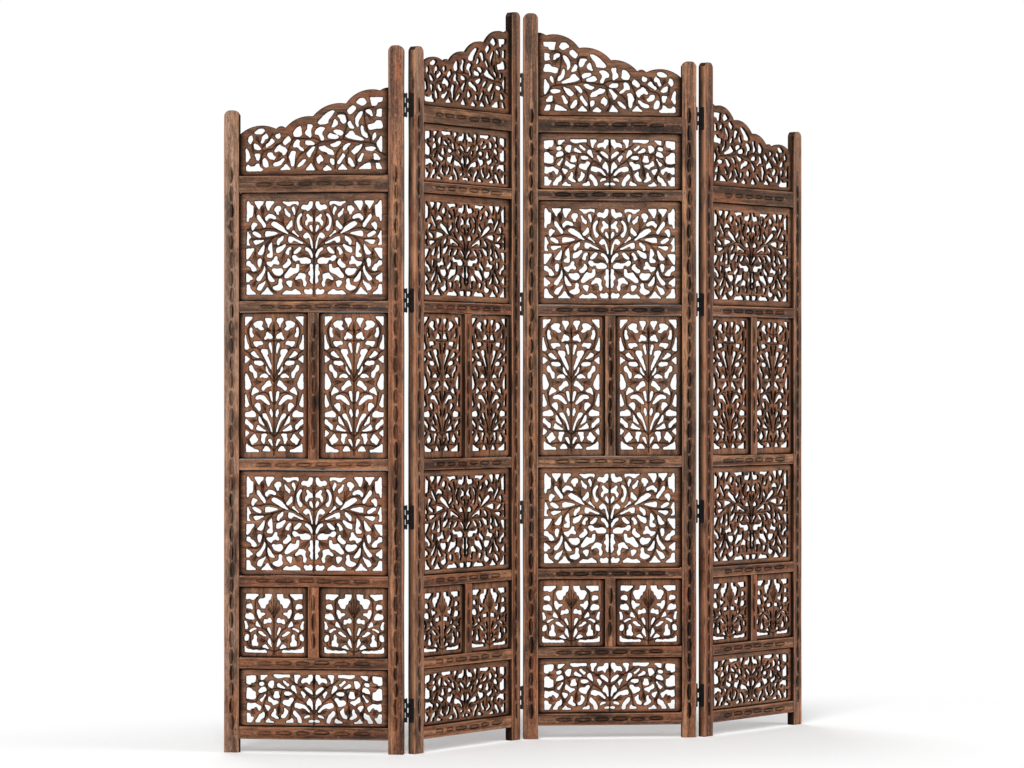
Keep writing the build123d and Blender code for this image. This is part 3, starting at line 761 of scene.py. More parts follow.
def veins(base, tip, width):
    """The cuts of a leaf: one down its middle and one each side, opening a little to the tip."""
    base, tip = np.asarray(base, float), np.asarray(tip, float)
    length = np.hypot(*(tip - base))
    axis = (tip - base) / length
    across = np.array([-axis[1], axis[0]])
    sides = [[base + axis * length * up + across * side * width * out for up, out in SIDE_VEIN]
             for side in (-1, 1)]
    return [[base, base + axis * length * MIDRIB], *sides]


def written(text):
    """The rings or lines of a design, each a list of its x and z, from their x,z points."""
    lines = [line.split() for line in text.split(";")]
    return [[tuple(float(part) for part in point.split(",")) for point in line] for line in lines if line]


def drawn(design, lift, both):
    """A design's rings, lines and leaves in millimetres, moved up by the lift.

    Where it is for both halves, their mirror image is added to all that isn't on the middle line.
    """
    def line(points, side=1):
        """The points at the design's own scale and lift, mirrored where the side is -1."""
        return [(side * x, z * design["rise"] + lift) for x, z in points]

    sides = (1, -1) if both else (1,)
    holes = [line(ring, side) for ring in written(design["holes"]) for side in sides]
    stems = [line(stem, side) for stem in written(design["stems"]) for side in sides
             if side == 1 or any(x for x, _ in stem)]
    leaves = [(*line([base, tip], side), width) for base, tip, width in design["leaves"] for side in sides
              if side == 1 or base[0] or tip[0]]
    return {"holes": holes, "stems": stems, "leaves": leaves}


def crest_outline(span):
    """The crest's closed outline: arcs between its cusps, then the low end, the floor and the tall end."""
    cusps = [(share * span, height) for share, height, _ in CREST_CUSPS]
    outline = [(0.0, 0.0)]
    for (x0, z0), (x1, z1), (_, _, rise) in zip(cusps, cusps[1:], CREST_CUSPS):
        chord = math.hypot(x1 - x0, z1 - z0)
        radius = (chord ** 2 / 4 + rise ** 2) / (2 * rise)
        half_turn = math.asin(chord / 2 / radius)
        turn = np.linspace(-half_turn, half_turn, CREST_ARC_POINTS)
        along, up = radius * np.sin(turn) + chord / 2, radius * np.cos(turn) - radius * math.cos(half_turn)
        ex, ez = (x1 - x0) / chord, (z1 - z0) / chord
        outline += list(zip(x0 + along * ex - up * ez, z0 + along * ez + up * ex))
    return outline + [(span, 0.0)]


def carve(design, x, z, seed):
    """The carving over a grid: how far inside the wood each point is, and three masks of 0 to 1.

    The field is the least distance to any opening, less the widening, with a slow and a quick wave
    so that no two edges are quite alike. The masks are the stems' and the veins' cuts, each
    exp(-(distance / half width)^2), where a vein's is three quarters of a stem's, and the swell of
    the leaves.
    """
    settings = bpy.context.scene.jali_carving
    inside = np.full(x.shape, FAR)
    for ring in design["holes"]:
        ring = corner_cut(ring, settings.corner_cut / MM)
        (x0, z0), (x1, z1) = ring.min(0) - RING_REACH, ring.max(0) + RING_REACH
        near = np.ix_((z[:, 0] > z0) & (z[:, 0] < z1), (x[0] > x0) & (x[0] < x1))
        inside[near] = np.minimum(inside[near], ring_distance(x[near], z[near], ring))
    slow = smooth_noise(x / SLOW_WAVE, z / SLOW_WAVE, seed)
    quick = smooth_noise(x / QUICK_WAVE, z / QUICK_WAVE, seed + 5)
    inside += (settings.wander * (slow + quick) - settings.widen) / MM
    half = settings.groove_half / MM
    stem = np.min([line_distance(x, z, soft_line(line)) for line in design["stems"]], axis=0)
    vein = np.min([line_distance(x, z, line) for leaf in design["leaves"] for line in veins(*leaf)], axis=0)
    swell = np.max([leaf_swell(x, z, *leaf) for leaf in design["leaves"]], axis=0)
    return inside, np.exp(-(stem / half) ** 2), np.exp(-(vein / (VEIN_WIDTH * half)) ** 2), swell


# ---------------------------------------------------------------- from field to mesh

# Triangles of the solid part of a grid cell for each pattern of solid corners. Keys 0 to 3 are the
# corners, counter-clockwise from the low left one, and 4 to 7 the crossings on the sides after them.
CELL_TRIANGLES = {
    1: [(0, 4, 7)],
    2: [(1, 5, 4)],
    3: [(0, 1, 5), (0, 5, 7)],
    4: [(2, 6, 5)],
    5: [(0, 4, 7), (2, 6, 5), (4, 5, 6), (4, 6, 7)],
    6: [(1, 2, 6), (1, 6, 4)],
    7: [(0, 1, 2), (0, 2, 6), (0, 6, 7)],
    8: [(3, 7, 6)],
    9: [(0, 4, 6), (0, 6, 3)],
    10: [(1, 5, 4), (3, 7, 6), (4, 5, 6), (4, 6, 7)],
    11: [(0, 1, 5), (0, 5, 6), (0, 6, 3)],
    12: [(3, 7, 5), (3, 5, 2)],
    13: [(0, 4, 5), (0, 5, 2), (0, 2, 3)],
    14: [(1, 2, 3), (1, 3, 7), (1, 7, 4)],
    15: [(0, 1, 2), (0, 2, 3)],
}
# The same cells' edges along the opening, with the solid on their left.
CELL_EDGES = {
    1: [(4, 7)], 2: [(5, 4)], 3: [(5, 7)], 4: [(6, 5)], 5: [(4, 5), (6, 7)], 6: [(6, 4)], 7: [(6, 7)],
    8: [(7, 6)], 9: [(4, 6)], 10: [(7, 4), (5, 6)], 11: [(5, 6)], 12: [(7, 5)], 13: [(4, 5)], 14: [(7, 4)],
}
# How near to a cell's corners its sides can be crossed, as shares of the side.
CROSSING = (0.08, 0.92)
# Points nearer than this, in millimetres, are one in the back's triangulation.
WELD = 1e-7
# A fret's face: how far it lies behind the board's front in millimetres, and how far a leaf swells up
# from it in metres.
FACE_BACK = 0.6
LEAF_RISE = 0.0006
# Darkness on a fret, from 0 to 1: soot in the veins; painted shade with soot beside the stiles and along
# the rails, with how many millimetres it fades over; painted shade with burnt wood on the worn rounds,
# with how steeply it sets in; and soot on the back.
VEIN_SOOT = 0.9
SIDE_SHADE_AND_SOOT, SIDE_FADE = 0.95, 8
END_SHADE_AND_SOOT, END_FADE = 0.6, 4
ROUND_SHADE_AND_SOOT, ROUND_POWER = 0.8, 1.5
BACK_SOOT = 0.1
# Wear on a fret: where on the round it is most and how soon it fades, and how worn the back is.
RIDGE, RIDGE_FADE = 0.1, 0.25
BACK_WEAR = 0.2


def contoured(field, xs, zs):
    """The region of a grid where the field is above zero, as triangles with smooth edges.

    Where a cell's side changes sign, it is crossed at the share f0 / (f0 - f1), kept off the ends.
    Returns points in x and z, triangles, contour edges, and for each point two grid places and
    the share between them, so that any other grid can be read at it.
    """
    rows, columns = field.shape
    solid = field > 0
    pattern = solid[:-1, :-1] * 1 + solid[:-1, 1:] * 2 + solid[1:, 1:] * 4 + solid[1:, :-1] * 8
    total = rows * columns
    triangles, edges = [], []
    for case in CELL_TRIANGLES:
        row, column = np.nonzero(pattern == case)
        low = row * columns + column
        keys = np.stack([low, low + 1, low + columns + 1, low + columns,
                         total + low, 2 * total + low + 1, total + low + columns, 2 * total + low])
        triangles += [np.stack([keys[a], keys[b], keys[c]], 1) for a, b, c in CELL_TRIANGLES[case]]
        edges += [np.stack([keys[a], keys[b]], 1) for a, b in CELL_EDGES.get(case, [])]
    triangles, edges = np.concatenate(triangles), np.concatenate(edges)
    used, numbers = np.unique(triangles, return_inverse=True)
    triangles = numbers.reshape(-1, 3)
    edges = np.searchsorted(used, edges)
    kind, first = used // total, used % total
    second = np.where(kind == 0, first, np.where(kind == 1, first + 1, first + columns))
    flat = field.ravel()
    f0, f1 = flat[first], flat[second]
    share = np.where(kind == 0, 0.0, np.clip(f0 / np.where(kind == 0, 1.0, f0 - f1), *CROSSING))
    grid = np.stack([np.tile(xs, rows), np.repeat(zs, columns)], 1)
    points = grid[first] * (1 - share[:, None]) + grid[second] * share[:, None]
    return points, triangles, edges, (first, second, share)


def read(grid, where):
    """A grid's values at contoured points: a blend of two of its places."""
    first, second, share = where
    flat = grid.ravel()
    return flat[first] * (1 - share) + flat[second] * share


def between(grid, row, column):
    """A grid's values at rows and columns that needn't be whole, blended from the four about each."""
    r, c = row.astype(int), column.astype(int)
    up, over = row - r, column - c
    return ((grid[r, c] * (1 - over) + grid[r, c + 1] * over) * (1 - up)
            + (grid[r + 1, c] * (1 - over) + grid[r + 1, c + 1] * over) * up)


def back_triangles(points, edges, field, xs, zs):
    """A flat filling of the contour, as few triangles as its own points allow.

    It is the constrained Delaunay triangulation of the contour, less the triangles whose middle
    lies in an opening.
    """
    rim = np.unique(edges)
    local = np.searchsorted(rim, edges)
    flat_points, _, faces, origins, _, _ = delaunay_2d_cdt(
        [tuple(p) for p in points[rim]], [tuple(e) for e in local.tolist()], [], 0, WELD)
    first = np.array([min(o) if o else -1 for o in origins])
    faces = np.array([face[:] for face in faces])
    faces = faces[(first[faces] >= 0).all(1)]
    x, z = np.array([tuple(p) for p in flat_points])[faces].mean(1).T
    column = np.clip((x - xs[0]) / (xs[1] - xs[0]), 0, len(xs) - 1.001)
    row = np.clip((z - zs[0]) / (zs[1] - zs[0]), 0, len(zs) - 1.001)
    faces = rim[first[faces[between(field, row, column) > 0]]]
    a, b, c = (points[faces[:, k]] for k in range(3))
    area = (b[:, 0] - a[:, 0]) * (c[:, 1] - a[:, 1]) - (b[:, 1] - a[:, 1]) * (c[:, 0] - a[:, 0])
    faces[area < 0] = faces[area < 0][:, ::-1]
    return faces


def fret_mesh(design, outline, seed):
    """A carved board in leaf millimetres: points as x, depth and z, triangles, and its masks.

    The face falls back along each edge by edge_drop (1 - inside / edge_round)^2, and by the depths
    of the stems' and the veins' cuts times their masks, and swells up in the leaves. The back is
    flat.
    """
    settings = bpy.context.scene.jali_carving
    step = settings.grid_step / MM
    outline = np.asarray(outline, float)
    (x0, z0), (x1, z1) = outline.min(0), outline.max(0)
    xs = np.arange(x0 - 1.5 * step, x1 + 2 * step, step)
    zs = np.arange(z0 - 1.5 * step, z1 + 2 * step, step)
    x, z = np.meshgrid(xs, zs)
    inside, *masks = carve(design, x, z, seed)
    field = np.minimum(inside, -ring_distance(x, z, outline))
    points, triangles, edges, where = contoured(field, xs, zs)

    rounding = np.clip(1 - read(field, where) / (settings.edge_round / MM), 0, 1)
    cut, veined, swell = (read(mask, where) for mask in masks)
    drop = (settings.edge_drop * rounding ** 2 + settings.groove_drop * cut
            + settings.vein_drop * veined * (1 - cut) - LEAF_RISE * swell * (1 - rounding)) / MM
    half = settings.board / 2 / MM
    count = len(points)
    rim = np.unique(edges)
    behind = np.full(count, -1)
    behind[rim] = count + np.arange(len(rim))
    depths = np.concatenate([np.clip(drop, 0, None) + FACE_BACK - half, np.full(len(rim), half)])
    flat = np.concatenate([points, points[rim]])
    back = behind[back_triangles(points, edges, field, xs, zs)]
    a, b = edges[:, 0], edges[:, 1]
    walls = np.concatenate([np.stack([b, a, behind[a]], 1), np.stack([b, behind[a], behind[b]], 1)])
    faces = np.concatenate([triangles, back[:, ::-1], walls])

    # Painted shade with soot where the frame stands over the face, fading in from the face's sides and
    # ends.
    beside = np.minimum(points[:, 0] - x0, x1 - points[:, 0])
    above = np.minimum(points[:, 1] - z0, z1 - points[:, 1])
    border = SIDE_SHADE_AND_SOOT * np.exp(-(beside / SIDE_FADE) ** 2) + END_SHADE_AND_SOOT * np.exp(-(above / END_FADE) ** 2)
    # Soot in the cuts and the veins, and painted shade with burnt wood on the worn rounds of the openings.
    front = np.clip(cut + VEIN_SOOT * veined + border + ROUND_SHADE_AND_SOOT * rounding ** ROUND_POWER, 0, 1)
    # The openings' walls are painted black: painted shade in the walls, together with burnt wood.
    dark = np.concatenate([front[triangles], np.full(back.shape, BACK_SOOT), np.full(walls.shape, 1.0)])
    ridge = np.clip(1 - np.abs(rounding - RIDGE) / RIDGE_FADE, 0, 1) * (1 - front)
    worn = np.concatenate([ridge[triangles], np.full(back.shape, BACK_WEAR), np.zeros(walls.shape)])
    return np.column_stack([flat[:, 0], depths, flat[:, 1]]), faces, {"dark": dark, "worn": worn}


# ---------------------------------------------------------------- bars: stiles, rails, muntins

# The columns of points across a bar's front: half the band that the chain is carved in, in metres and
# at most this share of the bar, the columns in it, and the columns on each side of it.
CHAIN_BAND = 0.0062
CHAIN_BAND_SHARE = 0.7
BAND_COLUMNS = 13
SIDE_COLUMNS = 3
CORNER_TURNS = (22.5, 45, 67.5)
EDGE_WEAR = 0.7
# How a bar is drawn in at its ends: the steps as shares of the arris, how far in each is as a share,
# and the same up the crown.
END_STEPS, END_SHRINK = (0.0, 0.3, 1.0), (1, 0.35, 0)
CROWN_ROWS = 9
CROWN_OVERLAP = 0.001
CROWN_STEPS, CROWN_SHRINK = (0, 0.7, 1), (0, 0.1, 0.8)
SHRINK_DEPTH = 0.55
# The hand-planed waves of a bar: their depth and their lengths along it, across it and through it.
PLANE_DEPTH = 0.00025
PLANE_ALONG, PLANE_ACROSS, PLANE_THROUGH = 0.05, 0.02, 0.01
# Soot on a bar's front: in the cuts and as a dusk about the chain, with half the width of the dusk
# and the length over which it ends.
CUT_SOOT, CHAIN_DUSK = 1.15, 0.22
DUSK_HALF, DUSK_END = 0.007, 0.02
# Painted shade with soot on the flank that faces a fret, and painted shadow on the rear part of the other
# one:
# how dark each is, how far in from the side it begins, and over how much width it sets in. On the other one
# it sets in over a depth too, and this share of the depth lies in front of the bar's middle.
FRET_FLANK_SHADE_AND_SOOT, REAR_FLANK_SHADOW = 0.95, 0.97
FLANK_EDGE, FLANK_FADE = 0.0012, 0.0008
FLANK_DEPTH, FLANK_SHARE = 0.003, 0.6
# The most that soot and painted shade together darken a bar, and how dark its top is.
MOST_SOOT_AND_SHADE, TOP_SOOT = 0.97, 0.8


def bar_ring(width, depth, arris):
    """The section of a bar, front first: across and depth of each point, how worn it is, and how
    many points are in its front.

    The front has close columns in its middle, where the chain is carved. Corners are quarter rounds.
    The rear repeats the front backwards, so point i of the ring is opposite point -i - 7 of it.
    """
    half, back = width / 2 - arris, depth / 2
    band = min(CHAIN_BAND, half * CHAIN_BAND_SHARE)
    front = np.concatenate([np.linspace(-half, -band, SIDE_COLUMNS, endpoint=False),
                            np.linspace(-band, band, BAND_COLUMNS),
                            np.linspace(half, band, SIDE_COLUMNS, endpoint=False)[::-1]])
    turn = np.radians(CORNER_TURNS)
    over, up = arris * np.sin(turn), arris * np.cos(turn)
    right = [np.column_stack([half + over, -back + arris - up]),
             np.column_stack([half + over, back - arris + up])[::-1]]
    left = [points[::-1] * (-1, 1) for points in right[::-1]]
    ring = np.concatenate([np.column_stack([front, np.full(front.size, -back)]), *right,
                           np.column_stack([front[::-1], np.full(front.size, back)]), *left])
    worn = np.where(np.abs(front) > half - 1e-6, EDGE_WEAR, 0.0)
    corners = np.ones(2 * turn.size)
    return ring[:, 0], ring[:, 1], np.concatenate([worn, corners, worn[::-1], corners]), front.size


def chain(along, across, start, end, link, seed):
    """Depth of the carved chain and how raised its buds are, both 0 to 1.

    In a link's own length t, its half width is lens_half * sin(pi t)^blunt. Its outline is a gouge,
    exp(-((|across| - half width) / gouge_half)^2), deeper on one side, and a filled link is cut away
    inside too, most on that side. A bud is the small raised spot between two links.
    """
    settings = bpy.context.scene.jali_frame
    along = along + link["stray"] * smooth_noise(along / STRAY_LENGTH, 0.0, seed)
    count = max(1, round((end - start) / link["pitch"]))
    length = (end - start) / count
    number = np.floor((along - start) / length)
    s = (along - start) / length - number
    random = np.random.default_rng(seed)
    index = np.clip(number, 0, count - 1).astype(int)
    strength = random.uniform(*LINK_STRENGTH, (count, 2))
    shift = random.uniform(-LINK_SHIFT, LINK_SHIFT, count)[index]
    gap = (link["gap"] * random.uniform(*LINK_GAP, count))[index]
    fill = (link["fill"] * random.uniform(*LINK_FILL, count))[index]
    t = np.clip((s - gap / 2) / (1 - gap), 0, 1)
    side = ((across > shift) ^ (index % 2 == 0)).astype(int)
    half = settings.lens_half * np.sin(np.pi * t) ** link["blunt"]
    away = np.abs(across - shift * 2)
    weak = np.where(side == 0, 1.0, link["weak"])
    gouge = np.exp(-((away - half) / settings.gouge_half) ** 2) * weak * strength[index, side]
    inner = np.clip((half - away) / INSIDE_EDGE + 0.5, 0, 1) * fill * np.where(side == 0, 1.0, link["far"])
    live = (t > 0.01) & (t < 0.99) & (along > start) & (along < end)
    bud = np.exp(-((np.minimum(s, 1 - s) * length) / BUD_HALF) ** 2 - (across / BUD_HALF) ** 2)
    return np.where(live, np.clip(np.maximum(gouge, inner), 0, 1), 0.0), bud * (1 - live)


def bar_heights(length, width, across, crown):
    """The height of each point of a bar, a row for each section, and how far each row is drawn in.

    The last rows of a bar with a crown go up to it. It falls to its shoulders as z = top - crown
    shoulder (across / half width)^4.
    """
    settings = bpy.context.scene.jali_frame
    body = length - crown
    stations = np.linspace(0, body, max(3, int(body / settings.station)))
    ease = settings.arris * np.array(END_STEPS)
    stations = np.concatenate([ease, stations[stations > 2 * settings.arris]])
    stations = stations[stations < body - (0 if crown else 2 * settings.arris)]
    shrink = np.interp(stations, ease, END_SHRINK)
    if not crown:
        stations = np.concatenate([stations, length - ease[::-1]])
        return np.tile(stations[:, None], across.size), np.concatenate([shrink, END_SHRINK[::-1]])
    shares = np.linspace(0, 1, CROWN_ROWS)
    dome = length - crown * settings.shoulder * np.abs(across / (width / 2)) ** 4
    top = body - CROWN_OVERLAP + shares[:, None] * (dome - body + CROWN_OVERLAP)
    return (np.concatenate([np.tile(stations[:, None], across.size), top]),
            np.concatenate([shrink, np.interp(shares, CROWN_STEPS, CROWN_SHRINK)]))


def bar_soot_and_shade(a, v, heights, half, run, cut, bud, sooty, inner):
    """How dark each point of a bar is: the chain's cuts and the dusk about it, and the flanks.

    The flank that faces a fret, the inner one (1 right, -1 left, 0 both), has painted shade with soot all
    over. The other has painted shadow in its rear part. The bar's top is dark too.
    """
    start, end = run
    live = np.clip((heights - start) / DUSK_END, 0, 1) * np.clip((end - heights) / DUSK_END, 0, 1)
    dusk = live * np.exp(-(a / DUSK_HALF) ** 2) * (v < 0) * (1 - bud)
    # Painted shade on the flanks: with soot on the inner one, and as painted shadow on the rear of the
    # other.
    flank = np.clip((np.abs(a) - half + FLANK_EDGE) / FLANK_FADE, 0, 1)
    rear = REAR_FLANK_SHADOW * np.clip(v / FLANK_DEPTH + FLANK_SHARE, 0, 1)
    soot_and_shade = flank * np.where(np.sign(a) * inner >= 0, FRET_FLANK_SHADE_AND_SOOT, rear)
    dark = np.clip(np.maximum(sooty * (CUT_SOOT * cut + CHAIN_DUSK * dusk), soot_and_shade), 0, MOST_SOOT_AND_SHADE)
    dark[-1] = TOP_SOOT
    return dark


def bar_mesh(length, width, run, link, sooty, seed, inner=0, crown=0.0):
    """A bar standing on its foot end, in millimetres: a ring carried up its length, closed at both
    ends. Its front is cut back by the chain over the run, its start and end in metres."""
    settings = bpy.context.scene.jali_frame
    across, deep, edges, front = bar_ring(width, settings.thickness, settings.arris)
    heights, shrink = bar_heights(length, width, across, crown)
    half, back = width / 2, settings.thickness / 2
    planed = smooth_noise(heights / PLANE_ALONG, across / PLANE_ACROSS + deep / PLANE_THROUGH, seed)
    inward = settings.arris * SHRINK_DEPTH * shrink[:, None] + np.clip(PLANE_DEPTH * (1 + planed), 0, None)
    a, v = across * (1 - inward / half), deep * (1 - inward / back)
    cut, bud = np.zeros((2, *a.shape))
    cut[:, :front], bud[:, :front] = chain(heights[:, :front], a[:, :front], *run, link, seed)
    v += cut * settings.gouge_depth

    rows, ring = a.shape
    near = np.arange(-3, ring // 2 - 3) % ring
    far = (-near - 7) % ring
    cap = np.concatenate([np.stack([near[:-1], near[1:], far[1:]], 1),
                          np.stack([near[:-1], far[1:], far[:-1]], 1)])
    faces = np.concatenate([ring_sides(rows, ring), cap[:, ::-1], cap + (rows - 1) * ring])
    dark = bar_soot_and_shade(a, v, heights, half, run, cut, bud, sooty, inner).ravel()[faces]
    worn = np.maximum(edges, np.maximum(shrink[:, None], bud)).ravel()[faces]
    points = np.stack([a, v, heights], 2).reshape(-1, 3)
    return points / MM, faces, {"dark": dark, "worn": worn * (1 - dark)}


def laid(mesh, length):
    """A standing bar laid on its side: its foot end goes to the left, and its length along u."""
    points, faces, masks = mesh
    across, depth, height = points.T
    masks = {key: values[:, ::-1] for key, values in masks.items()}
    return np.column_stack([height - length / MM / 2, depth, across]), faces[:, ::-1], masks


# ---------------------------------------------------------------- hinges

# Metres: the cut corner of a plate, half the gap between two plates that are shut on each other and
# between a knuckle and the next, the round at a knuckle's end, how far a web reaches past the notch,
# and how far down the plate the curl under the pin goes.
PLATE_CORNER = 0.0015
SHUT_GAP = 0.0002
KNUCKLE_GAP = 0.00012
KNUCKLE_ROUND = 0.0003
WEB_OVERLAP = 0.001
CURL_END = 0.003
# The curl's inner edge and its height, as shares of the barrel's radius.
CURL_IN, CURL_UP = 0.6, 0.75
# Screws: where they are, as shares of the plate's free width and of the hinge's height, how far from
# the barrel that width begins, how high a head is, how deep its foot sinks, and half its slot's width
# as a share of its radius.
SCREWS = ((0.30, 0.34), (0.72, 0.0), (0.30, -0.34))
SCREW_MARGIN = 0.001
SCREW_HIGH = 0.0006
SCREW_SINK = 0.0001
SLOT_SHARE = 0.16
# How far the pin runs past the hinge's ends, how long its bevel is, and the radius of its tip as a
# share of its own.
PIN_PAST = 0.0012
PIN_BEVEL = 0.0008
PIN_TIP = 0.4
# Pins further apart than this in height are of different hinges.
HINGE_APART = 0.1


def tube(rows):
    """A closed solid from rows of a ring, each of the same count of points, with fans at its ends."""
    rows = np.asarray(rows, float)
    count, size = rows.shape[:2]
    fan = np.arange(1, size - 1)
    low = np.stack([np.zeros_like(fan), fan + 1, fan], 1)
    high = np.stack([np.zeros_like(fan), fan, fan + 1], 1) + (count - 1) * size
    return rows.reshape(-1, 3), np.concatenate([ring_sides(count, size), low, high])


def lathe(profile, sides=20):
    """A closed round solid about z: each (radius, z) of the profile swept once round."""
    turn = np.linspace(0, 2 * np.pi, sides, endpoint=False)
    circle = np.column_stack([np.cos(turn), np.sin(turn)])
    return tube([np.column_stack([radius * circle, np.full(sides, z)]) for radius, z in profile])


def slab(ring, low, high):
    """A closed flat solid: a counter-clockwise convex ring of x and y carried from low to high."""
    return tube([np.column_stack([ring, np.full(len(ring), z)]) for z in (low, high)])


def knuckle_profile(radius, low, high):
    """A knuckle's outline from its axis: a cylinder with small rounds at both ends."""
    soft = KNUCKLE_ROUND
    return [(radius - 2 * soft, low), (radius - 0.6 * soft, low + 0.3 * soft), (radius, low + soft),
            (radius, high - soft), (radius - 0.6 * soft, high - 0.3 * soft), (radius - 2 * soft, high)]


def screw_head(radius):
    """A slotted screw head: two parts of a disc, one each side of the slot."""
    edge = math.asin(SLOT_SHARE)
    turn = np.linspace(edge, math.pi - edge, 10)
    half = np.column_stack([radius * np.cos(turn), radius * np.sin(turn)])
    return [slab(half, 0.0, SCREW_HIGH), slab(-half, 0.0, SCREW_HIGH)]


def hinge_heights(fold):
    """The middle height of each hinge of a fold, read from where its pins are."""
    heights = np.array([v.co.z for v in frame["nodes"][f"fold_{fold}_pins"].data.vertices])
    heights = np.unique(heights.round(5))
    groups = np.split(heights, np.nonzero(np.diff(heights) > HINGE_APART)[0] + 1)
    return [float(group.min() + group.max()) / 2 for group in groups]


def pin_axis(fold):
    """Where a fold's pins stand, x and y, from its joint."""
    joint = next(j for j in frame["joints"] if j["name"] == f"fold_{fold}")
    return np.array(joint["pos_m"][:2])


def plate_parts(reach, far, first):
    """One plate with its knuckles, in the hinge's own axes.

    The pin is at the origin, the leaf's edge face is at reach along -x, and y is towards the leaf's
    middle plane, with the plate's free edge at far. The plate is notched beside the other plate's
    knuckles, and reaches its own by webs, all on its side of y = 0, so that the hinge can shut.
    """
    settings = bpy.context.scene.jali_hinge
    half, face = settings.height / 2, -reach + settings.plate
    inner = far - PLATE_CORNER
    points, faces = slab([(reach, -half), (inner, -half), (far, -half + PLATE_CORNER),
                          (far, half - PLATE_CORNER), (inner, half), (reach, half)], -reach, face)
    web = [(-reach, SHUT_GAP), (face, SHUT_GAP), (face, reach + WEB_OVERLAP), (-reach, reach + WEB_OVERLAP)]
    tip = -settings.barrel * CURL_IN
    curl = [(-reach, SHUT_GAP), (tip, SHUT_GAP), (tip, settings.barrel * CURL_UP),
            (face, CURL_END), (-reach, CURL_END)]
    parts = [(points[:, [2, 0, 1]], faces)]
    pitch = settings.height / settings.knuckles
    for index in range(first, settings.knuckles, 2):
        low = -half + index * pitch + KNUCKLE_GAP
        high = low + pitch - 2 * KNUCKLE_GAP
        parts.append(lathe(knuckle_profile(settings.barrel, low, high)))
        parts += [slab(web, low, high), slab(curl, low, high)]
    return parts


def screw_parts(reach, far, seed):
    """A plate's screws in the hinge's own axes, each with its slot turned its own way."""
    settings = bpy.context.scene.jali_hinge
    near = settings.barrel + SCREW_MARGIN
    parts = []
    for across, up in SCREWS:
        turn = np.random.default_rng(seed * 100 + round(10 * up) + 9).uniform(0, np.pi)
        cos, sin = math.cos(turn), math.sin(turn)
        for points, faces in screw_head(settings.screw):
            y = points[:, 0] * cos - points[:, 1] * sin + near + (far - near) * across
            z = points[:, 0] * sin + points[:, 1] * cos + settings.height * up
            x = points[:, 2] - reach + settings.plate - SCREW_SINK
            parts.append((np.column_stack([x, y, z]), faces))
    return parts


def hinge_parts(fold, place, at_right, height, seed):
    """One plate of a hinge with its knuckles and screws, in world metres, turned to its leaf."""
    pin = pin_axis(fold)
    out = place.along if at_right else -place.along
    edge = place.origin + (place.along * place.width if at_right else 0)
    reach = float((pin - edge) @ out)
    side = float((pin - edge) @ place.back)
    inward = -math.copysign(1.0, side) * place.back
    scene = bpy.context.scene
    far = abs(side) + scene.jali_frame.thickness / 2 - scene.jali_hinge.plate_inset
    moved = []
    for points, faces in plate_parts(reach, far, 0 if at_right else 1) + screw_parts(reach, far, seed):
        plan = pin + np.multiply.outer(points[:, 0], out) + np.multiply.outer(points[:, 1], inward)
        world = np.column_stack([plan, points[:, 2] + height])
        moved.append((world, outwards(world, faces), {}))
    return moved


def hinge_pin(fold, height):
    """A hinge's pin in world metres: a round bar with bevelled ends."""
    settings = bpy.context.scene.jali_hinge
    reach = settings.height / 2 + PIN_PAST
    points, faces = lathe([(settings.pin * PIN_TIP, -reach), (settings.pin, -reach + PIN_BEVEL),
                           (settings.pin, reach - PIN_BEVEL), (settings.pin * PIN_TIP, reach)], 16)
    return points + [*pin_axis(fold), height], faces, {}


def outwards(points, faces):
    """The faces turned so that the closed mesh's volume, the sum of a . (b x c) / 6, is positive."""
    a, b, c = (points[faces[:, k]] for k in range(3))
    centre = points.mean(0)
    volume = np.einsum("ij,ij->i", a - centre, np.cross(b - centre, c - centre)).sum()
    return faces if volume > 0 else faces[:, ::-1]


# ---------------------------------------------------------------- materials

# The textures of the wood: cells in a metre along and across the grain, detail, roughness and
# distortion.
GRAIN = {
    "figure": (3.0, 42.0, 4.0, 0.6, 0.6),
    "fibre": (18.0, 420.0, 3.0, 0.6, 0.0),
    "pores": (60.0, 900.0, 2.0, 0.5, 0.0),
    "patches": (4.0, 14.0, 3.0, 0.55, 0.0),
    "stains": (11.0, 36.0, 4.0, 0.62, 0.5),
    "rubbed": (14.0, 60.0, 4.0, 0.6, 0.0),
    "bands": (1.8, 75.0, 2.0, 0.5, 0.4),
    "specks": (170.0, 330.0, 2.0, 0.6, 0.0),
}
TAN = (0.42, 0.20, 0.10, 1)
DUSTY = (0.46, 0.29, 0.20, 1)
BARE = (0.40, 0.235, 0.135, 1)
DUST_ON_IRON = (0.05, 0.032, 0.022, 1)
PIN_IRON = (0.02, 0.018, 0.016)
# The two woods: how rubbed their edges are, how weathered and how banded they are, and their level of
# colour.
WOODS = {"Frame wood": (0.80, 0.60, 1.0, 1.0), "Carved wood": (0.45, 0.50, 0.45, 0.84)}


def empty_material(name):
    """A new material with an empty node tree."""
    material = bpy.data.materials.new(name)
    material.use_nodes = True
    material.node_tree.nodes.clear()
    return material


def add(tree, kind, inputs=None, **settings):
    """A node with its settings and its inputs, which are values or other nodes' outputs."""
    node = tree.nodes.new(kind)
    for key, value in settings.items():
        setattr(node, key, value)
    for key, value in (inputs or {}).items():
        socket = node.inputs[key]
        if isinstance(value, bpy.types.NodeSocket):
            tree.links.new(value, socket)
        else:
            socket.default_value = value
    return node


def mix(tree, factor, a, b):
    """A mix of two colours: its result socket."""
    return add(tree, "ShaderNodeMix", {0: factor, 6: a, 7: b}, data_type="RGBA").outputs[2]


def maths(tree, operation, *values):
    """A sum: its result socket."""
    return add(tree, "ShaderNodeMath", dict(enumerate(values)), operation=operation).outputs[0]


def ramp(tree, value, low, high):
    """The value taken from low..high to 0..1, smoothly."""
    node = add(tree, "ShaderNodeMapRange", {0: value, 1: low, 2: high}, interpolation_type="SMOOTHSTEP")
    return node.outputs[0]


